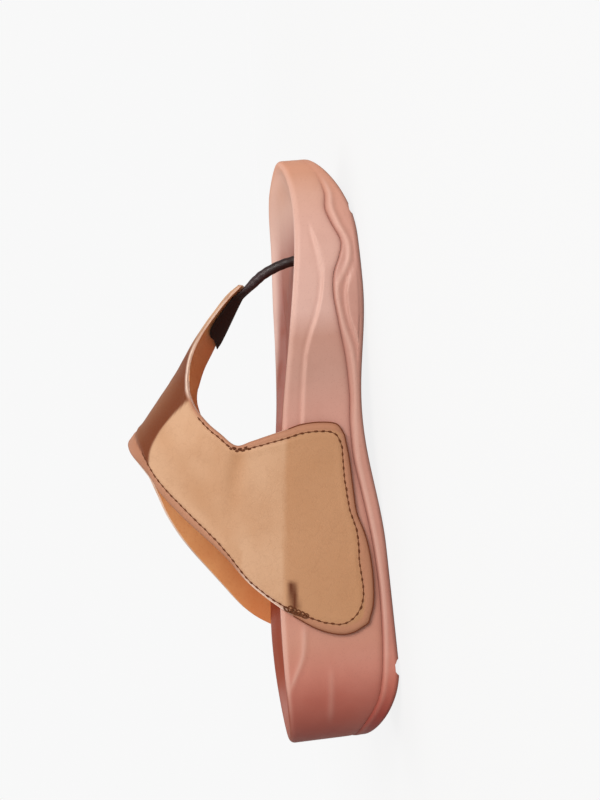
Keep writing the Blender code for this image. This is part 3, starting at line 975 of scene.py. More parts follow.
@dataclass
class Footbed:
    """Footbed body: moulded wall, rounded rim and a dished bed with the post's hole."""

    form: SoleForm
    relief: Relief
    outline: Outline
    rim_rounding: float = 2.4
    slit: float = 0.1
    seam_inset: float = 0.45
    bead: float = 0.35
    hole: Pair = (80.8, -14.0)
    hole_radius: float = 2.45
    hole_bottom: float = 11.0
    countersink: float = 2.2
    countersink_depth: float = 2.4
    wall_rows: int = 46
    bed_rows: int = 26

    def seam_top(self, x: float, _y: float = 0.0) -> float:
        """Height of the footbed's lower edge, a slit above the seam."""
        return self.form.seam_height(x) + self.slit * self.form.seam_depth(x)

    def wall_ring(self, share: float) -> list[Vector]:
        """Ring of the wall: share is 0 at the seam and 1 where the rim starts to round.

        Args:
            share: Place up the wall.

        Returns:
            The ring.
        """

        def at(x: float, y: float) -> Pair:
            """Distance outwards and height."""
            low, high = self.seam_top(x), self.form.rim(x, y) - self.rim_rounding
            z = low + (high - low) * share
            return self.relief.footbed(x, z, low) * soft((high + 1.5 - z) / 3.0), z

        return self.outline.wall(at)

    def rim_ring(self, angle: float) -> list[Vector]:
        """Ring of the rim's rounding at an angle from the wall to the crest."""
        inward = -self.rim_rounding * (1 - math.cos(angle))
        drop = self.rim_rounding * (1 - math.sin(angle))
        return self.outline.ring(inward, lambda x, y: self.form.rim(x, y) - drop)

    def bed_ring(self, inset: float) -> list[Vector]:
        """Ring of the bed with a soft bead inside the rim.

        Args:
            inset: 0 at the rim and 1 on the middle line.

        Returns:
            The ring.
        """
        drop = self.bead * soft((inset - 0.03) / 0.05)
        return self.outline.ring(
            -self.rim_rounding, lambda x, y: self.form.bed(x, y, inset) - drop, share=1 - inset
        )

    def rings(self) -> Rings:
        """All rings from the middle of the underside up and over to the middle of the bed.

        Returns:
            The rings.
        """
        under = [self.outline.ring(-self.seam_inset, self.seam_top, share) for share in (0.0, 0.3, 0.6, 0.85)]
        wall = [self.wall_ring((i / self.wall_rows) ** 1.15) for i in range(self.wall_rows + 1)]
        rim = [self.rim_ring(math.pi / 2 * i / 7) for i in range(1, 8)]
        bed = [self.bed_ring((i / self.bed_rows) ** 1.35) for i in range(1, self.bed_rows + 1)]
        return under + wall + rim + bed

    def build(self, material: Material) -> Piece:
        """Models and dresses the footbed.

        Args:
            material: The foam's finish.

        Returns:
            The finished piece.
        """
        piece = roll_shell("footbed_skin", self.rings())
        self.drill(piece)
        shade(piece)
        tint(piece, self.tints)
        piece.data.materials.append(material)
        hand_over(piece, "footbed", "footbed_body")
        return piece

    def drill(self, piece: Piece) -> None:
        """Cuts the countersunk hole of the toe post.

        Args:
            piece: The footbed.
        """
        x, y = self.hole
        low, top, radius = self.hole_bottom, self.form.bed(x, y, 0.6) - self.bead, self.hole_radius
        for radius1, radius2, depth, middle in (
            (radius, radius, top - low + 6, (top + low + 6) / 2),
            (radius, radius + self.countersink, self.countersink_depth, top + 0.1),
        ):
            deselect_all()
            bpy.ops.mesh.primitive_cone_add(
                vertices=40, radius1=radius1 * MM, radius2=radius2 * MM, depth=depth * MM,
                location=(x * MM, y * MM, middle * MM),
            )
            carve(piece, bpy.context.active_object)

    def tints(self, x: float, y: float, z: float, level: float) -> Triple:
        """Shares of the painted groove shade, the painted ridge and rim highlights and the painted shade inside the
        dish at a place, as tint() asks for them.

        Args:
            x: Place along the sole.
            y: Place across it.
            z: Height.
            level: How far the face is from upright.

        Returns:
            The shares.
        """
        form, relief, seam = self.form, self.relief, self.form.seam_height(x)
        upright = soft((0.75 - level) / 0.3)
        wall = upright if abs(y - form.side_y(x, Side.MEDIAL if y < 0 else Side.LATERAL)) < 4 else 0.0
        # Painted highlights along the relief's ridge lines.
        line = 0.0
        for table, lift, strength, width, reach in (
            (relief.long_ledge, 0.1, 1.2, 0.6, 9.0), (relief.heel_curve, 0.0, 0.9, 0.9, 7.0),
            (relief.heel_rib, 0.0, 0.35, 1.2, 8.0),
        ):
            line += strength * mound(z - curve(table, x) - lift, width) * Relief.fade(table, x, reach)
        # Painted shade in the open seam.
        groove = 0.5 * math.exp(-max(z - seam, 0.0) / 0.8) * max(wall, 0.2) * form.seam_depth(x)
        # Painted highlight along the rim's crest.
        crest = mound(z - form.rim(x, y) + 0.6, 1.0) * (1.0 if level < 0.98 else 0.3)
        side = Side.MEDIAL if y < curve(form.middle_line, x) else Side.LATERAL
        depth = side.value * (form.side_y(x, side) - y)
        # Painted shade inside the dish: below the rim, fading out towards the toe.
        fore = soft((x - 5.0) / 75.0)
        sunk = soft((form.rim(x, y) - z + 1.8 - 2.2 * fore) / (1.2 + 2.6 * fore)) * soft((107.0 - x) / 28.0)
        start = 0.1 if side is Side.LATERAL else 1.2 - 0.7 * soft((-90.0 - x) / 12.0)
        inside = soft((depth - start) / 1.3) * sunk * soft((z - seam - 8.0) / 4.0)
        # The crest's painted highlight fades out at the heel end and is strongest on the medial side of the heel.
        shine = 0.8 * soft((x + 120) / 24)
        shine += 0.9 * soft((x + 104) / 14) * soft((-52 - x) / 14) * (side is Side.MEDIAL)
        return groove, min(1.0, line * wall + shine * crest) * (1 - inside), inside


@dataclass
class Outsole:
    """Outsole: waved band with a lip, a lens-shaped swelling, a rounded lower edge and a grooved tread."""

    form: SoleForm
    relief: Relief
    outline: Outline
    edge: float = 2.2
    lip: float = 1.5
    seam_inset: float = 0.9
    bulge: Table = ((-125, 0), (-112, 0.7), (92, 0.7), (112, 0), (125, 0))
    end_grooves: tuple[Triple, ...] = ((96.5, 5.0, 0.9), (-94.0, 7.0, 1.9))
    waved_grooves: tuple[float, ...] = (84.0, 73.0, 62.0, 51.0, -49.0, -60.0, -71.0, -82.0)
    groove_width: float = 3.0
    groove_depth: float = 2.0
    groove_wave: float = 2.5
    side_margin: float = 9.0
    wall_rows: int = 22

    def wall_ring(self, share: float) -> list[Vector]:
        """Ring of the wall: share is 0 above the lower edge and 1 at the seam.

        Args:
            share: Place up the wall.

        Returns:
            The ring.
        """

        def at(x: float, y: float) -> Pair:
            """Distance outwards and height."""
            seam = self.form.seam_height(x)
            low = min(self.form.under(x, y) + self.edge, seam - 1.0)
            z = low + (seam - low) * share
            swell, over = curve(self.bulge, x), min(1.0, max(0.0, 1 - (seam - z) / self.lip))
            away = swell + self.relief.outsole(x, z, seam) * soft((z - low + 0.6) / 1.6)
            rounded = 1 - math.sqrt(max(0.0, 1 - over * over))
            return away - (0.4 * self.form.seam_depth(x) + swell) * rounded, z

        return self.outline.wall(at)

    def edge_ring(self, angle: float) -> list[Vector]:
        """Ring of the rounded lower edge at an angle from the underside to the wall.

        Args:
            angle: The angle.

        Returns:
            The ring.
        """

        def away(x: float, _y: float) -> float:
            """Distance outwards."""
            return curve(self.bulge, x) * math.sin(angle) - self.edge * (1 - math.sin(angle))

        def height(x: float, y: float) -> float:
            """Height, with a lower rounding where the seam is near."""
            rise = min(self.edge, max(self.form.seam_height(x) - 1.0 - self.form.under(x, y), 0.4))
            return self.form.under(x, y) + rise * (1 - math.cos(angle))

        return self.outline.ring(away, height)

    def rings(self) -> Rings:
        """All rings from the middle of the underside round the band to the middle of the seam.

        Returns:
            The rings.
        """
        under = [self.outline.ring(-self.edge, self.form.under, i / 9) for i in range(9)]
        edge = [self.edge_ring(math.pi / 2 * i / 6) for i in range(7)]
        wall = [self.wall_ring(i / self.wall_rows) for i in range(1, self.wall_rows + 1)]
        inset, height = -self.seam_inset, lambda x, _y: self.form.seam_height(x)
        seam = [self.outline.ring(inset, height, share) for share in (0.97, 0.75, 0.5, 0.25, 0.0)]
        return under + edge + wall + seam

    def tread_bar(self, groove: Triple, low: float, high: float, wave: float) -> Piece:
        """Cutter of one groove across the sole.

        Args:
            groove: Its place along X, its width and its depth.
            low: Its end on the medial side.
            high: Its end on the lateral side.
            wave: How far it swings along X.

        Returns:
            The cutter.
        """
        deselect_all()
        bpy.ops.mesh.primitive_cube_add(size=1.0)
        bar = bpy.context.active_object
        with edit_mode(bar):
            bpy.ops.mesh.subdivide(number_cuts=15)
        middle, width, depth = groove
        for vertex in bar.data.vertices:
            across, along, up = vertex.co.x, vertex.co.y + 0.5, vertex.co.z + 0.5
            y = low + (high - low) * along
            x = middle + wave * math.sin(math.pi * (y - low) / 22.0)
            top = self.form.under(x, 0.0) + depth
            z = -4 + (top + 4) * up
            narrow = 1 - 0.55 * soft((z - top + depth) / depth) ** 2
            vertex.co = Vector((x + across * width * narrow, y, z)) * MM
        return bar

    def build(self, material: Material) -> Piece:
        """Models and dresses the outsole.

        Args:
            material: The foam's finish.

        Returns:
            The finished piece.
        """
        piece = roll_shell("outsole_skin", self.rings())
        breadth = self.form.half_breadth + 10
        bars = [self.tread_bar(groove, -breadth, breadth, 0.0) for groove in self.end_grooves]
        for middle in self.waved_grooves:
            low = self.form.side_y(middle, Side.MEDIAL) + self.side_margin
            high = self.form.side_y(middle, Side.LATERAL) - self.side_margin
            groove = (middle, self.groove_width, self.groove_depth)
            bars.append(self.tread_bar(groove, low, high, self.groove_wave))
        pick(*bars)
        bpy.ops.object.join()
        carve(piece, bars[0])
        shade(piece)
        tint(piece, self.tints)
        piece.data.materials.append(material)
        hand_over(piece, "outsole", "outsole")
        return piece

    def tints(self, x: float, _y: float, z: float, level: float) -> Triple:
        """Shares of the painted groove shade, painted ridge highlight and painted dish shade at a place, as tint()
        asks for them.

        Args:
            x: Place along the sole.
            _y: Place across it, unused.
            z: Height.
            level: How far the face is from upright.

        Returns:
            The shares.
        """
        seam, depth, upright = self.form.seam_height(x), self.form.seam_depth(x), soft((0.8 - level) / 0.3)
        crest, lens = seam - curve(self.relief.lip_drop, x), self.relief.lens
        # Painted highlights along the lip's crest and the lens's upper edge.
        line = mound(z - crest, 0.9) * depth * (0.35 + 0.65 * soft((x + 100) / 30))
        line += 1.3 * mound(z - curve(lens, x), 0.5) * Relief.fade(lens, x)
        # Painted shade in the seam and on upright faces near the floor.
        groove = 0.5 * mound(z - seam, 0.7) * depth + 0.3 * soft((3.0 - z) / 3.0) * upright
        return min(1.0, groove), min(1.0, 1.25 * line * upright), 0.0


# ---- upper ----


@dataclass(frozen=True)
class UpperForm:
    """Section and pattern of the leather upper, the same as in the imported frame."""

    form: SoleForm
    wall: float = 2.2
    ridge: tuple[Triple, ...] = (
        (-80, -2, 108), (-20, -2, 108), (3, -2, 105.2), (11, -2, 100.9), (18, -2, 94.6), (25, -2.5, 88.8),
        (31, -3, 83.8), (36, -3, 79.8), (41, -3, 75.6), (48, -2.5, 69.4), (56, -2.5, 62.4), (65, -4.5, 55.2),
        (69, -6.5, 51.6), (72.6, -8.5, 47.4),
    )
    medial_fold: tuple[Triple, ...] = (
        (-80, -16, 95), (-20, -16, 95), (3, -15.5, 94.2), (11, -15, 90), (18, -14.8, 83.8), (25, -14.5, 78.2),
        (31, -14.5, 74.8), (36, -14.4, 74), (41, -14, 73), (48, -12.5, 70), (56, -10.5, 64.6), (65, -10, 56.6),
        (69, -10.4, 52.6), (72.6, -11, 47.9),
    )
    lateral_fold: tuple[Triple, ...] = (
        (-80, 13, 95), (-20, 13, 95), (3, 13, 93.6), (11, 12.5, 89.6), (18, 12.2, 83), (25, 12, 76.4),
        (31, 11.5, 71.2), (36, 11.2, 68.8), (41, 11, 66.4), (48, 9.5, 62), (56, 6, 57.4), (65, 1, 52),
        (69, -2.5, 49.4), (72.6, -6, 46.9),
    )
    fullness: float = 4.5
    medial_front: Table = (
        (3.6, 12.9), (8.2, 15.6), (9.6, 22), (9.4, 30), (7.8, 37), (6.2, 44), (4.6, 51), (3.6, 57.6), (8.8, 63.6),
        (15.4, 69), (23.2, 72.8), (31, 74.8), (40, 73.2), (48, 70), (56, 64.6), (65, 56.6), (72.6, 47.9),
    )
    medial_rear: Table = (
        (-74.2, 10.8), (-77.2, 17), (-77.2, 23), (-74, 31), (-67.8, 40.6), (-59.6, 50.4), (-51.4, 58.2), (-42, 66),
        (-32.5, 74.2), (-22.8, 82.2), (-13, 89.6), (-6, 93.8), (-1, 96.2), (3.4, 98.2), (6.6, 99.4), (8.8, 100.2),
        (10.2, 100.8),
    )
    lateral_front: Table = (
        (1.6, 12.9), (6.2, 15.6), (7.6, 22), (7.4, 30), (5.8, 37), (4.2, 44), (2.8, 51), (2.8, 57.6), (7, 63.2),
        (13.4, 67.8), (21, 70.2), (31, 71.2), (40, 66.9), (48, 62), (56, 57.4), (65, 52), (72.6, 46.9),
    )
    lateral_rear: Table = (
        (-84.2, 11.2), (-87.4, 17.6), (-87.6, 24), (-85, 33), (-80, 43.4), (-73.6, 52.8), (-66, 60.6),
        (-56.5, 68.6), (-46, 76), (-35, 82.8), (-23, 88.8), (-13, 92.6), (-5, 95.4), (1.2, 97.6), (5.4, 99.2),
        (8.2, 100.1), (10, 100.8),
    )
    tongue_tip: float = 72.6
    peak: float = 10.4
    foot_edge: Table = (
        (0, 0), (0.12, -0.9), (0.3, -1.2), (0.42, -1.5), (0.52, -3.4), (0.62, -4.4), (0.76, -4.4), (0.9, -3),
        (1, 0),
    )

    def half_corners(self, x: float, side: Side) -> Pairs:
        """Corners (y, z) of one half of the section at x, from the floor to the ridge.

        Args:
            x: Place along the sole.
            side: The side.

        Returns:
            The corners.
        """
        foot_y = self.form.side_y(x, side) + side.value * (self.form.gap + self.wall / 2)
        fold = self.medial_fold if side is Side.MEDIAL else self.lateral_fold
        fold_y, fold_z, ridge_y, ridge_z = (
            curve(tuple((row[0], row[axis]) for row in table), x) for table in (fold, self.ridge) for axis in (1, 2)
        )
        rim = self.form.rim(x, foot_y)
        middle = ((foot_y + fold_y) / 2 + side.value * self.fullness, (rim + fold_z) / 2)
        return [(foot_y, 0.0), (foot_y, rim), middle, (fold_y, fold_z), (ridge_y, ridge_z)]

    def corners(self, x: float) -> Pairs:
        """Corners of the whole section at x, medial floor to lateral floor, with the ridge in the middle."""
        return self.half_corners(x, Side.MEDIAL) + self.half_corners(x, Side.LATERAL)[-2::-1]

    def point(self, x: float, position: float) -> Vector:
        """Point of the wall's middle surface at a position from 0 to 8 along the section at x."""
        corners = self.corners(x)
        y, z = (curve(tuple((i, corner[axis]) for i, corner in enumerate(corners)), position) for axis in (0, 1))
        return Vector((x, y, z))

    def position_at(self, x: float, z: float, side: Side) -> float:
        """Position along the section at x where one side reaches a height.

        Args:
            x: Place along the sole.
            z: The height.
            side: The side.

        Returns:
            The position, from 0 to 8.
        """
        half = self.half_corners(x, side)
        position = 4.0
        for k in range(4):
            low, high = half[k][1], half[k + 1][1]
            if z <= high or k == 3:
                position = k + (z - low) / max(high - low, 0.001)
                break
        position = min(position, 4.0)
        return position if side is Side.MEDIAL else 8.0 - position

    def edges(self, side: Side) -> tuple[Pairs, Pairs]:
        """Front and rear edge of one side, foot to ridge, as (x, position).

        Args:
            side: The side.

        Returns:
            The two edges.
        """
        medial = side is Side.MEDIAL
        front_table = self.medial_front if medial else self.lateral_front
        rear_table = self.medial_rear if medial else self.lateral_rear
        fold = 3.0 if medial else 5.0
        front = [(x, fold if x > 30 else self.position_at(x, z, side)) for x, z in front_table]
        return front, [(x, self.position_at(x, z, side)) for x, z in rear_table]

    @staticmethod
    def refined(points: Pairs, steps: int) -> Pairs:
        """Smooth row through points, with a number of steps for each span."""
        rows = [tuple((i, point[axis]) for i, point in enumerate(points)) for axis in (0, 1)]
        count = (len(points) - 1) * steps
        return [(curve(rows[0], i / steps), curve(rows[1], i / steps)) for i in range(count + 1)]

    def foot(self, front: Pair, rear: Pair, side: Side, t: float) -> float:
        """How far the foot of a panel leaves the straight line between its corners, as a position."""
        x = front[0] + (rear[0] - front[0]) * t
        rise = curve(self.foot_edge, t) / self.form.rim(x, self.form.side_y(x, side))
        return rise if side is Side.MEDIAL else -rise

    def pattern(self, rib_steps: int, rows: int) -> np.ndarray:
        """The whole pattern as (x, position), by column over the foot and by row from front to rear.

        Args:
            rib_steps: Columns for each span of the edges' tables.
            rows: Cells from front to rear.

        Returns:
            The grid.
        """
        medial_front, medial_rear = self.edges(Side.MEDIAL)
        lateral_front, lateral_rear = self.edges(Side.LATERAL)
        front = self.refined(medial_front + [(self.tongue_tip, 4.0)] + lateral_front[::-1], rib_steps)
        rear = self.refined(medial_rear + [(self.peak, 4.0)] + lateral_rear[::-1], rib_steps)
        grid = np.zeros((len(front), rows + 1, 2))
        for i in range(len(front)):
            u = i / (len(front) - 1)
            near, far = max(0.0, 1 - u * 4), max(0.0, u * 4 - 3)
            for j in range(rows + 1):
                v = j / rows
                grid[i, j] = [front[i][axis] * (1 - v) + rear[i][axis] * v for axis in (0, 1)]
                grid[i, j, 1] += near * self.foot(front[0], rear[0], Side.MEDIAL, v)
                grid[i, j, 1] += far * self.foot(front[-1], rear[-1], Side.LATERAL, v)
        return grid


@dataclass
class Upper:
    """Leather upper: one hollow wall with a stitched margin, rounded cut edges, folds and a lining."""

    form: UpperForm
    rib_steps: int = 6
    rows: int = 64
    skived: float = 0.9
    bead_front: float = 37.0
    bead_rear: float = 42.0
    bead_radius: float = 0.25
    roll: float = 0.75
    roll_reach: float = 2.2
    groove: float = 0.32
    front_margin: Table = ((0, 3.8), (0.2, 3.5), (0.34, 2.8), (0.41, 1.7), (0.5, 1.5), (0.62, 1.2), (1, 1.2))
    rear_margin: Table = (
        (0, 4.4), (0.12, 4.0), (0.2, 3.0), (0.26, 1.6), (0.33, 1.2), (0.38, 1.8), (0.47, 3.3), (0.62, 4.8),
        (1, 5.0),
    )
    foot_margin: Table = ((0, 4.2), (0.25, 3.8), (0.46, 2.7), (0.56, 3.5), (0.66, 4.8), (0.8, 4.6), (1, 4.4))
    stain: tuple[Pair, Pair] = ((-55.5, 41.0), (-64.0, 40.8))
    sewn_to: float = 32.0
    sewn_fade: float = 8.0
    throat_folds: tuple[Quad, ...] = (
        (57.0, 0.26, 3.0, -0.8), (63.0, 0.2, 3.2, 0.45), (72.5, -0.5, 2.8, -0.3),
    )

    def __post_init__(self) -> None:
        """Lays the pattern over the foot and measures it."""
        self.grid = self.form.pattern(self.rib_steps, self.rows)
        columns, rows, _ = self.grid.shape
        self.middle = np.array(
            [[tuple(self.form.point(*self.grid[i, j])) for j in range(rows)] for i in range(columns)]
        )
        along = np.linalg.norm(np.diff(self.middle, axis=1), axis=2)
        over = np.linalg.norm(np.diff(self.middle, axis=0), axis=2)
        self.from_front = np.concatenate([np.zeros((columns, 1)), np.cumsum(along, axis=1)], axis=1)
        self.from_rear = self.from_front[:, -1:] - self.from_front
        self.from_medial = np.concatenate([np.zeros((1, rows)), np.cumsum(over, axis=0)], axis=0)
        self.from_lateral = self.from_medial[-1:, :] - self.from_medial
        self.share = 1 - np.abs(2 * np.arange(columns) / (columns - 1) - 1)
        normal = np.array([[self.slope(*self.grid[i, j]) for j in range(rows)] for i in range(columns)])
        normal /= np.maximum(np.linalg.norm(normal, axis=2, keepdims=True), 1e-9)
        outwards = np.sign((normal * (self.middle - np.array([0, -2, 20]))).sum())
        self.normal = normal * outwards
        self.from_edge = self.measure_edge()
        self.outer = self.middle + self.normal * (self.form.wall / 2 + self.surface_rise()[..., None])

    def slope(self, x: float, position: float) -> Triple:
        """Direction square to the wall at a place of the pattern."""
        along = self.form.point(x + 0.6, position) - self.form.point(x - 0.6, position)
        over = self.form.point(x, position + 0.12) - self.form.point(x, position - 0.12)
        return tuple(along.cross(over))

    def measure_edge(self) -> np.ndarray:
        """True distance from the nearest cut edge for each point of the pattern.

        Returns:
            The distances.
        """
        middle = self.middle
        border = np.concatenate([middle[:, 0], middle[-1], middle[::-1, -1], middle[0, ::-1]])
        parts = 5
        ahead = np.roll(border, -1, axis=0)
        fine = np.concatenate([border + (ahead - border) * k / parts for k in range(parts)])
        return np.array([np.linalg.norm(row[:, None] - fine[None], axis=2).min(axis=1) for row in middle])

    def margins(self) -> tuple[np.ndarray, np.ndarray, np.ndarray]:
        """Seam margins: front and rear by column, and foot by row.

        Returns:
            The three margins.
        """
        front = np.array([curve(self.front_margin, s) for s in self.share])
        rear = np.array([curve(self.rear_margin, s) for s in self.share])
        foot = np.array([curve(self.foot_margin, j / self.rows) for j in range(self.rows + 1)])
        return front, rear, foot

    def inside_margin(self) -> np.ndarray:
        """Distance inside the stitch line, negative in the margin, for each point of the pattern.

        Returns:
            The distances.
        """
        front, rear, foot = self.margins()
        inside = np.minimum(self.from_front - front[:, None], self.from_rear - rear[:, None])
        inside = np.minimum(inside, self.from_medial - foot[None, :])
        return np.minimum(inside, self.from_lateral - foot[None, :])

    def sewn(self) -> np.ndarray:
        """1 on the stitched panels and 0 on the tongue."""
        return ramp(self.middle[..., 0], self.sewn_to, -self.sewn_fade)

    def surface_rise(self) -> np.ndarray:
        """How far the outer face stands off the plain wall: rolled edge, stitch groove, folds and pulls.

        Returns:
            The rise at each point of the pattern.
        """
        sewn = self.sewn()
        roll = ramp(self.from_edge, self.roll_reach, -self.roll_reach)
        crest = np.exp(-(((self.grid[..., 1] - 4.0) / 0.7) ** 2)) * (self.middle[..., 0] > -4)
        rise = -self.roll * roll**2 * (0.5 + 0.5 * sewn) * (1 - 1.25 * crest)
        inside = self.inside_margin()
        rise -= self.groove * np.exp(-((inside / 0.55) ** 2)) * sewn
        rise += 0.18 * np.exp(-(((inside - 1.8) / 1.2) ** 2)) * sewn
        for i in range(rise.shape[0]):
            for j in range(rise.shape[1]):
                rise[i, j] += self.folds(*self.middle[i, j])
        return rise

    def folds(self, x: float, y: float, z: float) -> float:
        """Soft folds that run from the throat, and the hide's own unevenness.

        Args:
            x: Place along the sole.
            y: Place across it.
            z: Height.

        Returns:
            The rise.
        """
        rise = 0.22 * noise.noise(Vector((x, y * 0.7, z)) * 0.055) + 0.1 * noise.noise(Vector((x, y, z)) * 0.16)
        fade = soft((x + 34) / 30) * soft((6 - x) / 10)
        for height, fall, width, lift in self.throat_folds:
            rise += lift * mound(z - height + fall * x, width) * fade
        return rise

    def crown_mask(self) -> np.ndarray:
        """Dark band of the crown, from the medial fold over the ridge.

        Returns:
            The mask, from 0 to 1.
        """
        mask = np.zeros(self.grid.shape[:2])
        for i in range(mask.shape[0]):
            for j in range(mask.shape[1]):
                x, position = self.grid[i, j]
                border, blur = 2.93 - 0.36 * soft((x - 16) / 15), 0.06 + 0.08 * soft((x - 16) / 10)
                band = soft((position - border) / blur) * (1 - 0.2 * soft((position - 3.05) / 0.85))
                band *= 1 - soft((position - 4.6) / 1.2)
                mask[i, j] = band * (1 - soft((x - 42) / 20))
        return mask

    def fold_mask(self) -> np.ndarray:
        """Shade of the panels below the rim and in the folds at the throat.

        Returns:
            The mask, from 0 to 1.
        """
        x, y, z = (self.middle[..., axis] for axis in range(3))
        rims = np.vectorize(self.form.form.rim)(x, y)
        below = ramp(rims - z, 0.8, 2.2)
        below = below * below * (3 - 2 * below)
        fold = np.exp(-(((z - 57.0 + 0.26 * x) / 3.6) ** 2)) * ramp(x, -30, 26)
        high = np.exp(-(((z - 84.0 - 0.5 * (x - 4)) / 5.0) ** 2)) * 0.35
        return np.clip(0.8 * below + 0.6 * fold * (z > 46) + high * (z > 60), 0, 1)

    def stain_mask(self) -> np.ndarray:
        """Brown smear beside the back tack on the medial panel.

        Returns:
            The mask, from 0 to 1.
        """
        (x0, z0), (x1, z1) = self.stain
        x, y, z = (self.middle[..., axis] for axis in range(3))
        t = ramp(x, x0, x1 - x0)
        away = np.hypot(x - (x0 + (x1 - x0) * t), z - (z0 + (z1 - z0) * t))
        return np.clip(1.4 - away / 1.8, 0, 1) * (y < 0)

    def build(self, finishes: dict[Coat, Material]) -> Piece:
        """Models and dresses the upper.

        Args:
            finishes: Material of each kind of face.

        Returns:
            The finished piece.
        """
        columns, rows, _ = self.grid.shape
        piece = add_grid("upper_leather", columns - 1, rows - 1)
        place_rows(piece, [[Vector(self.middle[i, j]) for i in range(columns)] for j in range(rows)])
        with edit_mode(piece):
            bpy.ops.mesh.normals_make_consistent(inside=False)
        self.face_outwards(piece)
        for coat in Coat:
            piece.data.materials.append(finishes[coat])
        apply_modifier(
            piece, "SOLIDIFY", thickness=self.form.wall * MM, offset=0.0, use_rim=True,
            material_offset=Coat.LINING.value, material_offset_rim=Coat.CUT_EDGE.value,
        )
        self.shape_wall(piece)
        apply_modifier(
            piece, "BEVEL", width=0.3 * MM, segments=2, limit_method="ANGLE", angle_limit=math.radians(55)
        )
        shade(piece, 50.0)
        hand_over(piece, "upper", "upper")
        return piece

    def lay_edge_bead(self, material: Material) -> None:
        """Lays the thin dark bead round the lower cut edge of both panels: partly the edge's own dark finish,
        partly painted shadow-gap shade.

        Args:
            material: The bead's finish.
        """
        for side in Side:
            outer = self.outer if side is Side.MEDIAL else self.outer[::-1]
            reach = outer.shape[0] // 2
            front = [place for place in outer[:reach, 0] if place[2] < self.bead_front][::-1]
            rear = [place for place in outer[:reach, -1] if place[2] < self.bead_rear]
            path = [Vector(place) for place in (*front, *outer[0, 1:-1], *rear)]
            bead = thread_tube(f"edge_paint_and_gap_shade_{side.name.lower()}", path, self.bead_radius)
            bead.data.materials.append(material)
            shade(bead, 60.0)
            hand_over(bead, "upper")

    def face_outwards(self, piece: Piece) -> None:
        """Turns the sheet over if its faces look into the shoe.

        Args:
            piece: The sheet.
        """
        piece.data.update()
        middle = (self.grid.shape[0] * self.grid.shape[1]) // 2
        looks = piece.data.vertices[middle].normal
        if looks.dot(Vector(self.normal.transpose(1, 0, 2).reshape(-1, 3)[middle])) < 0:
            with edit_mode(piece):
                bpy.ops.mesh.flip_normals()

    def shape_wall(self, piece: Piece) -> None:
        """Moves the outer face to its rolled and folded shape, and marks the wall for its finishes.

        Args:
            piece: The solidified sheet.
        """
        count = self.grid.shape[0] * self.grid.shape[1]
        outer = self.outer.transpose(1, 0, 2).reshape(-1, 3)
        thin = self.skived * ramp(self.middle[..., :1], 26, 12)
        inner = self.middle - self.normal * (self.form.wall / 2 - thin)
        inner = inner.transpose(1, 0, 2).reshape(-1, 3)
        places = vertex_places(piece)
        first_is_outer = np.linalg.norm(places[:count] - outer) < np.linalg.norm(places[:count] - inner)
        outer_span, inner_span = slice(0, count), slice(count, 2 * count)
        if not first_is_outer:
            outer_span, inner_span = inner_span, outer_span
        places[outer_span], places[inner_span] = outer, inner
        piece.data.vertices.foreach_set("co", (places * MM).ravel())
        x, y, z = (self.middle[..., axis] for axis in range(3))
        margin = ramp(self.inside_margin(), 0.35, -0.6) * self.sewn()
        near = ramp(self.from_edge, 1.3, -1.0) * (y < 0)
        rear_raw = ramp(z, 64, -6) * ramp(z, 42, 3) * (x < -30)
        tongue_raw = ramp(x, 24, 5) * ramp(x, 54, -8)
        marks = {
            "margin": margin * 0.9,
            "burnish": ramp(self.from_edge, 0.7, -0.7) * 0.35,
            "raw_edge": near * np.clip(rear_raw + tongue_raw, 0, 1) * 0.9,
            "crown_shade": self.crown_mask() * 0.97,
            "fold_shade": self.fold_mask(),
            "stain": self.stain_mask(),
            # Darker lower cut edge: partly the edge's own wax, partly painted shadow-gap shade.
            "waxed": ramp(z, 40, -6) * ramp(self.from_edge, 2.1, -1.5),
            # Painted shade on the lining, darker lower down inside the upper.
            "depth_shade": ramp(z, 76, -22) * 0.65,
        }
        for name, values in marks.items():
            mark(piece, name, np.tile(values.transpose(1, 0).ravel(), 2))


# ---- stitching ----


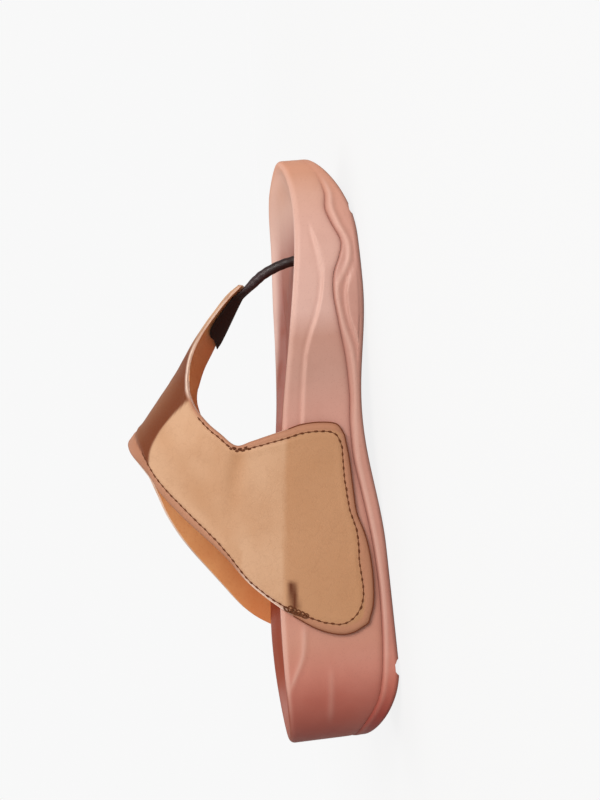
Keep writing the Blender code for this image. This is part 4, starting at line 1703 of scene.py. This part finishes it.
@dataclass
class Stitching:
    """Rows of brown lockstitch inside the panels' edges, with back tacks and loose ends."""

    upper: Upper
    pitch: float = 2.9
    length: float = 1.9
    radius: float = 0.38
    ground_radius: float = 0.15
    front_corner: float = 6.5
    rear_corner: float = 12.0
    front_end: float = 0.555
    rear_end: float = 0.72
    throat_height: float = 57.0
    rear_height: float = 44.0
    tack_pitch: float = 1.3
    tack_width: float = 0.55
    slip: float = 0.1
    loop_turns: float = 5.0
    loop_run: float = 9.0
    loop_reach: float = 1.35
    seed: int = 7

    def half(self, side: Side) -> dict[str, np.ndarray]:
        """Measures of one half of the pattern, turned so that its foot comes first.

        Args:
            side: The side.

        Returns:
            The measures by name.
        """
        upper, order = self.upper, (slice(None) if side is Side.MEDIAL else slice(None, None, -1))
        foot = upper.from_medial if side is Side.MEDIAL else upper.from_lateral
        return {
            "front": upper.from_front[order], "rear": upper.from_rear[order], "foot": foot[order],
            "outer": upper.outer[order], "normal": upper.normal[order],
        }

    def grid_path(self, side: Side) -> Pairs:
        """Stitch line of one side as (column, row) places: up the front, round the foot and up the rear.

        Args:
            side: The side.

        Returns:
            The places.
        """
        half, (front_m, rear_m, foot_m) = self.half(side), self.upper.margins()
        columns, rows = half["front"].shape
        steps = np.arange(rows, dtype=float)

        def front_row(i: int) -> float:
            """Row of the front stitches on a column."""
            return float(np.interp(front_m[i], half["front"][i], steps))

        def rear_row(i: int) -> float:
            """Row of the rear stitches on a column."""
            return float(np.interp(rear_m[i], half["rear"][i][::-1], steps[::-1]))

        def foot_column(j: int, more: float = 0.0) -> float:
            """Column of the foot's stitches on a row."""
            return float(np.interp(foot_m[j] + more, half["foot"][:, j], np.arange(columns)))

        last = (columns - 1) // 2
        first_front = math.ceil(foot_column(round(front_row(8)), self.front_corner))
        first_rear = math.ceil(foot_column(round(rear_row(8)), self.rear_corner))
        foot_start = int(np.searchsorted(half["front"][6], front_m[6] + self.front_corner))
        foot_stop = int(rows - 1 - np.searchsorted(half["rear"][6][::-1], rear_m[6] + self.rear_corner))
        front = [(i, front_row(i)) for i in range(int(last * self.front_end), first_front - 1, -1)]
        foot = [(foot_column(j), j) for j in range(foot_start, foot_stop + 1)]
        rear = [(i, rear_row(i)) for i in range(first_rear, int(last * self.rear_end) + 1)]
        corner_a = (foot[0][0], front[-1][1])
        corner_b = (foot[-1][0], rear[0][1])
        turn_a, turn_b = self.turn(front[-1], corner_a, foot[0]), self.turn(foot[-1], corner_b, rear[0])
        return front + turn_a + foot + turn_b + rear

    @staticmethod
    def turn(start: tuple, corner: tuple, end: tuple, steps: int = 9) -> Pairs:
        """Rounded corner between two runs of the line.

        Args:
            start: End of the first run.
            corner: Where both runs would meet.
            end: Start of the second.
            steps: Count of steps.

        Returns:
            The places between.
        """
        shares = [((1 - t) ** 2, 2 * t * (1 - t), t * t) for t in (k / steps for k in range(1, steps))]
        return [tuple(a * p + b * q + c * r for p, q, r in zip(start, corner, end)) for a, b, c in shares]

    def line(self, side: Side) -> tuple[np.ndarray, np.ndarray, np.ndarray]:
        """Stitch line on the outer face: places, normals and running length.

        Args:
            side: The side.

        Returns:
            The three arrays.
        """
        half, places, normals = self.half(side), [], []
        for i, j in self.grid_path(side):
            i0, j0 = int(i), int(j)
            i1, j1 = min(i0 + 1, half["outer"].shape[0] - 1), min(j0 + 1, half["outer"].shape[1] - 1)
            a, b = i - i0, j - j0
            for source, target in ((half["outer"], places), (half["normal"], normals)):
                low = source[i0, j0] * (1 - b) + source[i0, j1] * b
                high = source[i1, j0] * (1 - b) + source[i1, j1] * b
                target.append(low * (1 - a) + high * a)
        places = np.array(places)
        run = np.concatenate([[0.0], np.cumsum(np.linalg.norm(np.diff(places, axis=0), axis=1))])
        return places, np.array(normals), run

    @staticmethod
    def at(run: np.ndarray, values: np.ndarray, where: float) -> Vector:
        """Value along a line at a running length."""
        return Vector([float(np.interp(where, run, values[:, axis])) for axis in range(3)])

    def one_stitch(self) -> Piece:
        """Models one stitch: a short thread, thick in the middle, whose ends dive into the leather.

        Returns:
            The stitch.
        """
        deselect_all()
        bpy.ops.mesh.primitive_uv_sphere_add(segments=8, ring_count=7, radius=1.0)
        stitch = bpy.context.active_object
        with edit_mode(stitch):
            bpy.ops.transform.rotate(value=math.pi / 2, orient_axis="Y", center_override=(0, 0, 0))
        for vertex in stitch.data.vertices:
            x, y, z = vertex.co
            full = (1 - x * x * 0.55) / max(math.sqrt(max(1 - x * x, 0.0)), 0.45)
            bend = -0.9 * x**4
            vertex.co = Vector((x * self.length / 2, y * full * self.radius, (z * full + bend) * self.radius)) * MM
        return stitch

    def sew(self, side: Side, stitch: Piece, dice: random.Random) -> list[Piece]:
        """Copies the stitch along one side's line, with doubled back tacks.

        Args:
            side: The side to sew.
            stitch: The modelled stitch.
            dice: Seeded source of small slips.

        Returns:
            The copies.
        """
        places, normals, run = self.line(side)
        copies, (throat, _rear) = [], self.tack_places(places, run)
        wheres = [(self.pitch * (k + 0.5), 0.0) for k in range(int(run[-1] / self.pitch))]
        wheres += [(throat + self.tack_pitch * k, self.tack_width * (-1) ** k) for k in range(-3, 4)]
        for where, aside in wheres:
            ahead = self.at(run, places, where + 0.5) - self.at(run, places, where - 0.5)
            up = self.at(run, normals, where).normalized()
            ahead = (ahead - up * ahead.dot(up)).normalized()
            across = up.cross(ahead)
            ahead = (ahead + across * dice.uniform(-0.14, 0.14)).normalized()
            across = up.cross(ahead)
            place = self.at(run, places, where) + across * (aside + dice.uniform(-self.slip, self.slip)) + up * 0.1
            turn = Matrix((ahead, across, up)).transposed().to_4x4()
            copy = bpy.data.objects.new("stitch", stitch.data.copy())
            copy.data.transform(Matrix.Translation(place * MM) @ turn @ Matrix.Scale(dice.uniform(0.92, 1.1), 4))
            bpy.context.collection.objects.link(copy)
            copies.append(copy)
        return copies

    def tack_places(self, places: np.ndarray, run: np.ndarray) -> Pair:
        """Running lengths of the throat and of the rear back tack on one line.

        Args:
            places: The line's places.
            run: Its running length.

        Returns:
            The two lengths.
        """
        half = len(places) // 2
        throat = int(np.argmin(np.abs(places[: half // 2, 2] - self.throat_height)))
        rear = half + int(np.argmin(np.abs(places[half:, 2] - self.rear_height)))
        return float(run[throat]), float(run[rear])

    def loops(self, side: Side) -> Piece:
        """Loose loops of thread where the row was fastened behind the panel's crease.

        Args:
            side: The side.

        Returns:
            The loops.
        """
        places, normals, run = self.line(side)
        start = self.tack_places(places, run)[1]
        points = []
        for k in range(97):
            share = k / 96
            angle = 2 * math.pi * self.loop_turns * share
            where = start - 1.0 - self.loop_run * share + self.tack_pitch * math.cos(angle)
            up = self.at(run, normals, where).normalized()
            ahead = (self.at(run, places, where + 0.5) - self.at(run, places, where - 0.5)).normalized()
            aside = up.cross(ahead) * (self.loop_reach * math.sin(angle) * (1 - 0.35 * share))
            lift = 0.18 + 0.16 * (1 + math.sin(angle * 0.5 + 1.0))
            points.append(self.at(run, places, where) + aside + up * lift)
        return thread_tube("loops", points, self.radius * 0.75)

    def ground_thread(self, side: Side) -> Piece:
        """The fine thread that shows between the stitches of one side.

        Args:
            side: The side.

        Returns:
            The thread.
        """
        places, normals, run = self.line(side)
        count = int(run[-1] / 0.8)
        points = []
        for k in range(count + 1):
            where = run[-1] * k / count
            points.append(self.at(run, places, where) + self.at(run, normals, where).normalized() * 0.03)
        return thread_tube("ground_thread", points, self.ground_radius)

    def build(self, material: Material) -> None:
        """Sews both sides and hands the rows over.

        Args:
            material: The thread's finish.
        """
        dice, stitch = random.Random(self.seed), self.one_stitch()
        for side in Side:
            copies = self.sew(side, stitch, dice)
            copies += [self.loops(side), self.ground_thread(side)]
            pick(*copies)
            bpy.ops.object.join()
            row = bpy.context.active_object
            row.name = row.data.name = f"stitching_{side.name.lower()}"
            row.data.materials.clear()
            row.data.materials.append(material)
            shade(row, 60.0)
            hand_over(row, "upper")
        pick(stitch)
        bpy.ops.object.delete()


def thread_tube(name: str, points: Sequence[Vector], radius: float) -> Piece:
    """Thread of one radius along points.

    Args:
        name: The piece's name.
        points: Its path in millimetres.
        radius: Its radius in millimetres.

    Returns:
        The thread as a closed mesh.
    """
    path = bpy.data.curves.new(name, "CURVE")
    path.dimensions = "3D"
    path.bevel_depth = radius * MM
    path.bevel_resolution = 2
    path.use_fill_caps = True
    spline = path.splines.new("POLY")
    spline.points.add(len(points) - 1)
    for target, point in zip(spline.points, points):
        target.co = (*(point * MM), 1.0)
    thread = bpy.data.objects.new(name, path)
    bpy.context.collection.objects.link(thread)
    pick(thread)
    bpy.ops.object.convert(target="MESH")
    return bpy.context.active_object


# ---- toe post ----


@dataclass
class ToePost:
    """Dark leather-covered cord from the footbed's hole, flattened into a tail under the tongue."""

    form: UpperForm
    route: tuple[Triple, ...] = (
        (80.8, -14, 12), (81, -14, 22), (79.6, -13.5, 30), (76.6, -12, 37.6), (73.3, -10, 42.6),
    )
    radius: float = 2.15
    tail_from: float = 69.5
    tail_to: float = 52.5
    tail_thickness: float = 1.2
    skived: float = 0.7
    slant: float = 4.6
    tail_sides: Pair = (3.6, 5.14)
    sides: int = 32
    steps: int = 14

    def round_rings(self) -> Rings:
        """Rings of the round part, with a seam's ridge on its underside and slight pulls.

        Returns:
            The rings.
        """
        count = (len(self.route) - 1) * self.steps
        tables = [tuple((i, point[axis]) for i, point in enumerate(self.route)) for axis in range(3)]
        smooth = [Vector([curve(table, step / self.steps) for table in tables]) for step in range(count + 1)]
        rings = []
        for k, point in enumerate(smooth):
            along = (smooth[min(k + 1, count)] - smooth[max(k - 1, 0)]).normalized()
            across = Vector((0.0, 1.0, 0.0))
            across = (across - along * across.dot(along)).normalized()
            down = -across.cross(along).normalized()
            if down.x > 0:
                down = -down
            ring = []
            for n in range(self.sides):
                angle = 2 * math.pi * n / self.sides
                swell = 0.1 * mound(math.sin(angle) - 1.0, 0.12) + 0.06 * math.sin(k * 0.9 + 2 * math.sin(angle))
                outwards = across * math.cos(angle) + down * math.sin(angle)
                ring.append(point + outwards * (self.radius + swell - 0.05))
            rings.append(ring)
        return rings

    def tail_ring(self, x: float, narrow: float = 1.0, slant: float = 0.0) -> list[Vector]:
        """Ring of the flat tail at x, just below the tongue and as wide as it.

        Args:
            x: Place along the tongue.
            narrow: Share of the full breadth.
            slant: How far the medial edge runs ahead of the middle.

        Returns:
            The ring's points.
        """
        middle = self.form.point(x, 4.0)
        left, right = (self.form.point(x, position) for position in self.tail_sides)
        across = (right - left).normalized()
        forward = (self.form.point(x + 0.4, 4.0) - self.form.point(x - 0.4, 4.0)).normalized()
        down = forward.cross(across).normalized()
        if down.z > 0:
            down = -down
        half, centre = (right - left).length / 2 * narrow, (left + right) / 2
        sag = (middle - centre).dot(down)
        drop = self.form.wall / 2 - self.skived + self.form.form.gap + 0.2 + self.tail_thickness / 2
        ring = []
        for n in range(self.sides):
            angle = 2 * math.pi * n / self.sides
            c, s = math.cos(angle), math.sin(angle)
            wide = half * math.copysign(abs(c) ** 0.6, c)
            thick = self.tail_thickness / 2 * math.copysign(abs(s) ** 0.6, s)
            bow = sag * (1 - abs(c) ** 1.2)
            ring.append(centre + across * wide + down * (drop + bow + thick) - forward * (slant * c))
        return ring

    def build(self, material: Material) -> Piece:
        """Models and dresses the post.

        Args:
            material: The cord's finish.

        Returns:
            The finished piece.
        """
        rings = self.round_rings()
        first_tail, last_round = self.tail_ring(self.tail_from), rings[-1]
        for k in range(1, 6):
            rings.append([a.lerp(b, soft(k / 6)) for a, b in zip(last_round, first_tail)])
        count = 22
        for k in range(count + 1):
            x = self.tail_from + (self.tail_to - self.tail_from) * k / count
            rings.append(self.tail_ring(x, 1.0 - 0.1 * soft((k - count + 3) / 3), self.slant * k / count))
        for ring, at_start in ((rings[0], True), (rings[-1], False)):
            centre = sum(ring, Vector()) / len(ring)
            caps = [[centre + (point - centre) * share for point in ring] for share in (0.5, 0.0)]
            rings = caps[::-1] + rings if at_start else rings + caps
        piece = roll_shell("toe_post_cord", [ring + ring[:1] for ring in rings])
        shade(piece, 55.0)
        places = vertex_places(piece)
        mark(piece, "tail", [soft((71.5 - x) / 3.0) for x, _y, _z in places])
        mark(piece, "rubbed", [soft((z - 24) / 6.0) * soft((76 - x + 4) / 8) for x, _y, z in places])
        piece.data.materials.append(material)
        hand_over(piece, "toe_post", "toe_post")
        return piece


# ---- stage ----


@dataclass
class Studio:
    """Pale floor, soft lights and the camera."""

    camera_place: Triple = (-8.5, -522.0, 78.0)
    focal: float = 1194.0
    vanishing: Pair = (190.0, 480.0)
    roll: float = 5.6
    frame_size: tuple[int, int] = (600, 800)
    sensor: float = 36.0
    floor_glow: float = 0.94

    def camera(self) -> None:
        """Places the camera beside the shoe, rolled so that the toe is up."""
        width, height = self.frame_size
        off_x, off_y = self.vanishing[0] - width / 2, self.vanishing[1] - height / 2
        sight = Vector((off_x / self.focal, off_y / self.focal, 1)).normalized()
        tilt = math.radians(self.roll)
        right = Vector((-math.sin(tilt), -math.cos(tilt), 0.0))
        right = (right - sight * right.dot(sight)).normalized()
        up = right.cross(sight)
        lens = bpy.data.cameras.new("camera")
        lens.sensor_width = self.sensor
        lens.lens = self.focal / height * self.sensor
        lens.clip_start = 0.01
        eye = bpy.data.objects.new("camera", lens)
        turn = Matrix((right, sight, up)) @ Matrix.Diagonal((1, -1, -1))
        eye.matrix_world = Matrix.Translation(Vector(self.camera_place) * MM) @ turn.to_4x4()
        bpy.context.collection.objects.link(eye)
        bpy.context.scene.camera = eye

    def floor(self) -> None:
        """Lays a wide pale floor whose tone runs evenly to the horizon."""
        deselect_all()
        bpy.ops.mesh.primitive_plane_add(size=40.0, location=(0, 0, -0.1 * MM))
        ground = bpy.context.active_object
        ground.name = ground.data.name = "floor"
        material, board = new_material("pale_floor")
        place = board.object_place()
        reach = board.node("ShaderNodeVectorMath", {0: place}, operation="LENGTH").outputs["Value"]
        far = board.between(reach, 0.14, 0.5)
        near = board.node("ShaderNodeEmission", {"Color": (1, 1, 1, 1), "Strength": self.floor_glow - 0.09})
        matt = board.node("ShaderNodeBsdfDiffuse", {"Color": (0.09, 0.09, 0.09, 1)})
        mixed = board.node("ShaderNodeAddShader", {0: near.outputs[0], 1: matt.outputs[0]})
        glow = board.node("ShaderNodeEmission", {"Color": (1, 1, 1, 1), "Strength": self.floor_glow})
        seen = board.node("ShaderNodeMixShader", {0: far, 1: mixed.outputs[0], 2: glow.outputs[0]})
        bounce = board.node("ShaderNodeBsdfDiffuse", {"Color": (0.55, 0.55, 0.55, 1)})
        ray = board.node("ShaderNodeLightPath").outputs["Is Camera Ray"]
        whole = board.node("ShaderNodeMixShader", {0: ray, 1: bounce.outputs[0], 2: seen.outputs[0]})
        board.node("ShaderNodeOutputMaterial", {"Surface": whole.outputs[0]})
        ground.data.materials.append(material)

    def sky(self) -> None:
        """Even pale surroundings, dimmer as a light than as a backdrop."""
        world = bpy.data.worlds.new("studio")
        bpy.context.scene.world = world
        world.use_nodes = True
        board = Board(world.node_tree)
        ray = board.node("ShaderNodeLightPath").outputs["Is Camera Ray"]
        ambient = board.node("ShaderNodeBackground", {"Color": (1.0, 0.985, 0.97, 1), "Strength": 0.42})
        seen = board.node("ShaderNodeBackground", {"Color": (1, 1, 1, 1), "Strength": self.floor_glow})
        mixed = board.node("ShaderNodeMixShader", {0: ray, 1: ambient.outputs[0], 2: seen.outputs[0]})
        board.node("ShaderNodeOutputWorld", {"Surface": mixed.outputs[0]})

    @staticmethod
    def light(name: str, place: tuple, size: float, energy: float, colour: tuple = (1.0, 0.97, 0.94)) -> None:
        """Hangs one soft square light that looks at the shoe.

        Args:
            name: Its name.
            place: Its place in metres.
            size: Its side in metres.
            energy: Its power.
            colour: Its colour.
        """
        lamp = bpy.data.lights.new(name, "AREA")
        lamp.size, lamp.energy, lamp.color = size, energy, colour
        held = bpy.data.objects.new(name, lamp)
        aim = Vector((0.0, 0.0, 0.04)) - Vector(place)
        held.matrix_world = Matrix.Translation(place) @ aim.to_track_quat("-Z", "Y").to_matrix().to_4x4()
        bpy.context.collection.objects.link(held)

    def build(self) -> None:
        """Sets the whole stage."""
        bpy.context.scene.view_settings.view_transform = "Standard"
        self.floor()
        self.sky()
        self.light("key", (0.5, -1.1, 0.62), 0.7, 13.0)
        self.light("rim", (0.2, 0.9, 1.3), 0.9, 8.0)
        self.camera()


# ---- main ----


def tones(**displayed: tuple[int, int, int]) -> dict[str, Colour]:
    """Named linear colours of named display colours."""
    return {name: display_tone(*triple) for name, triple in displayed.items()}


def finishes(effects: Effects) -> dict[str, Material]:
    """Every material of the sandal, by the name of what it dresses.

    Args:
        effects: The shared effects.

    Returns:
        The materials.
    """
    # groove and inside are colours of painted shade, warm in the dish as a painted reflection; paler also colours
    # painted highlights.
    pink = tones(paler=(228, 184, 168), groove=(140, 80, 70), inside=(146, 60, 30))
    # Tones along the sole: darker and redder towards the heel end, painted shade where the heel turns away from the
    # light; paler and more orange at the toe end, painted light; paler on the forefoot of the footbed and a little
    # darker around x 29 to 52.
    footbed_tones_and_shading = (
        (-125, (150, 66, 54)), (-103, (180, 102, 87)), (-92, (196, 126, 109)), (-80, (201, 141, 121)),
        (-50, (206, 148, 130)), (10, (208, 153, 138)), (29, (197, 150, 135)), (44, (196, 146, 130)),
        (55, (218, 176, 164)), (92, (212, 166, 151)), (104, (209, 161, 142)), (114, (206, 148, 121)),
        (125, (223, 155, 122)),
    )
    outsole_tones_and_shading = (
        (-125, (140, 46, 36)), (-113, (160, 58, 46)), (-100, (195, 112, 95)), (-88, (204, 136, 120)),
        (-79, (198, 132, 117)), (-66, (200, 139, 123)), (-40, (203, 146, 130)), (20, (204, 148, 132)),
        (52, (198, 146, 132)), (73, (200, 148, 134)), (100, (204, 150, 132)), (114, (206, 146, 120)),
        (125, (220, 152, 120)),
    )
    footbed, outsole = (
        FoamFinish(name, tuple((x, display_tone(*tone)) for x, tone in rows), **pink)
        for name, rows in (("foam_footbed", footbed_tones_and_shading), ("foam_outsole", outsole_tones_and_shading))
    )
    hide = HideFinish("tan_hide", **tones(
        base=(212, 168, 133), darker=(190, 138, 98), paler=(222, 184, 154), margin=(186, 130, 102),
        crown=(114, 53, 21), stain=(98, 46, 20), raw=(250, 222, 204),
    ))
    # The lining darkens towards its painted shade lower down inside the upper.
    lining = NapFinish("orange_lining", **tones(
        base=(255, 190, 126), darker=(236, 156, 96), paler=(255, 204, 148), waxed=(206, 108, 52),
    ), shaded_by="depth_shade", mottling=0.4)
    # The cut edge darkens at its lower part: partly its own wax, partly painted shadow-gap shade.
    cut_edge = NapFinish("cut_edge", **tones(
        base=(236, 200, 176), darker=(206, 160, 130), paler=(246, 222, 204), waxed=(96, 52, 38),
    ), fibres=1500.0, depth=0.1, roughness=0.85)
    thread = ThreadFinish("waxed_thread", **tones(base=(94, 50, 28), paler=(134, 82, 52)))
    cord = CordFinish("dark_cord", **tones(base=(46, 28, 30), worn=(80, 54, 58), tail=(32, 18, 12)))
    # Dark bead along the lower cut edge: partly the edge's own dark finish, partly painted shadow-gap shade.
    paint_and_gap_shade = ThreadFinish("edge_paint_and_gap_shade", **tones(base=(112, 58, 34), paler=(134, 76, 50)))
    made = {
        "paint_and_gap_shade": paint_and_gap_shade, "footbed": footbed, "outsole": outsole, "hide": hide, "lining": lining, "edge": cut_edge,
        "thread": thread, "cord": cord,
    }
    return {name: finish.make(effects) for name, finish in made.items()}


def main() -> None:
    """Builds the sandal piece by piece around the frame, then sets the stage."""
    logging.basicConfig(level=logging.INFO, format="%(name)s: %(message)s")
    materials = finishes(Effects())
    form, relief = SoleForm(), Relief()
    outline = Outline(form)
    Outsole(form, relief, outline).build(materials["outsole"])
    Footbed(form, relief, outline).build(materials["footbed"])
    upper_form = UpperForm(form)
    upper = Upper(upper_form)
    upper.build({Coat.OUTER: materials["hide"], Coat.LINING: materials["lining"], Coat.CUT_EDGE: materials["edge"]})
    upper.lay_edge_bead(materials["paint_and_gap_shade"])
    Stitching(upper).build(materials["thread"])
    ToePost(upper_form).build(materials["cord"])
    Studio().build()


if __name__ == "__main__":
    main()
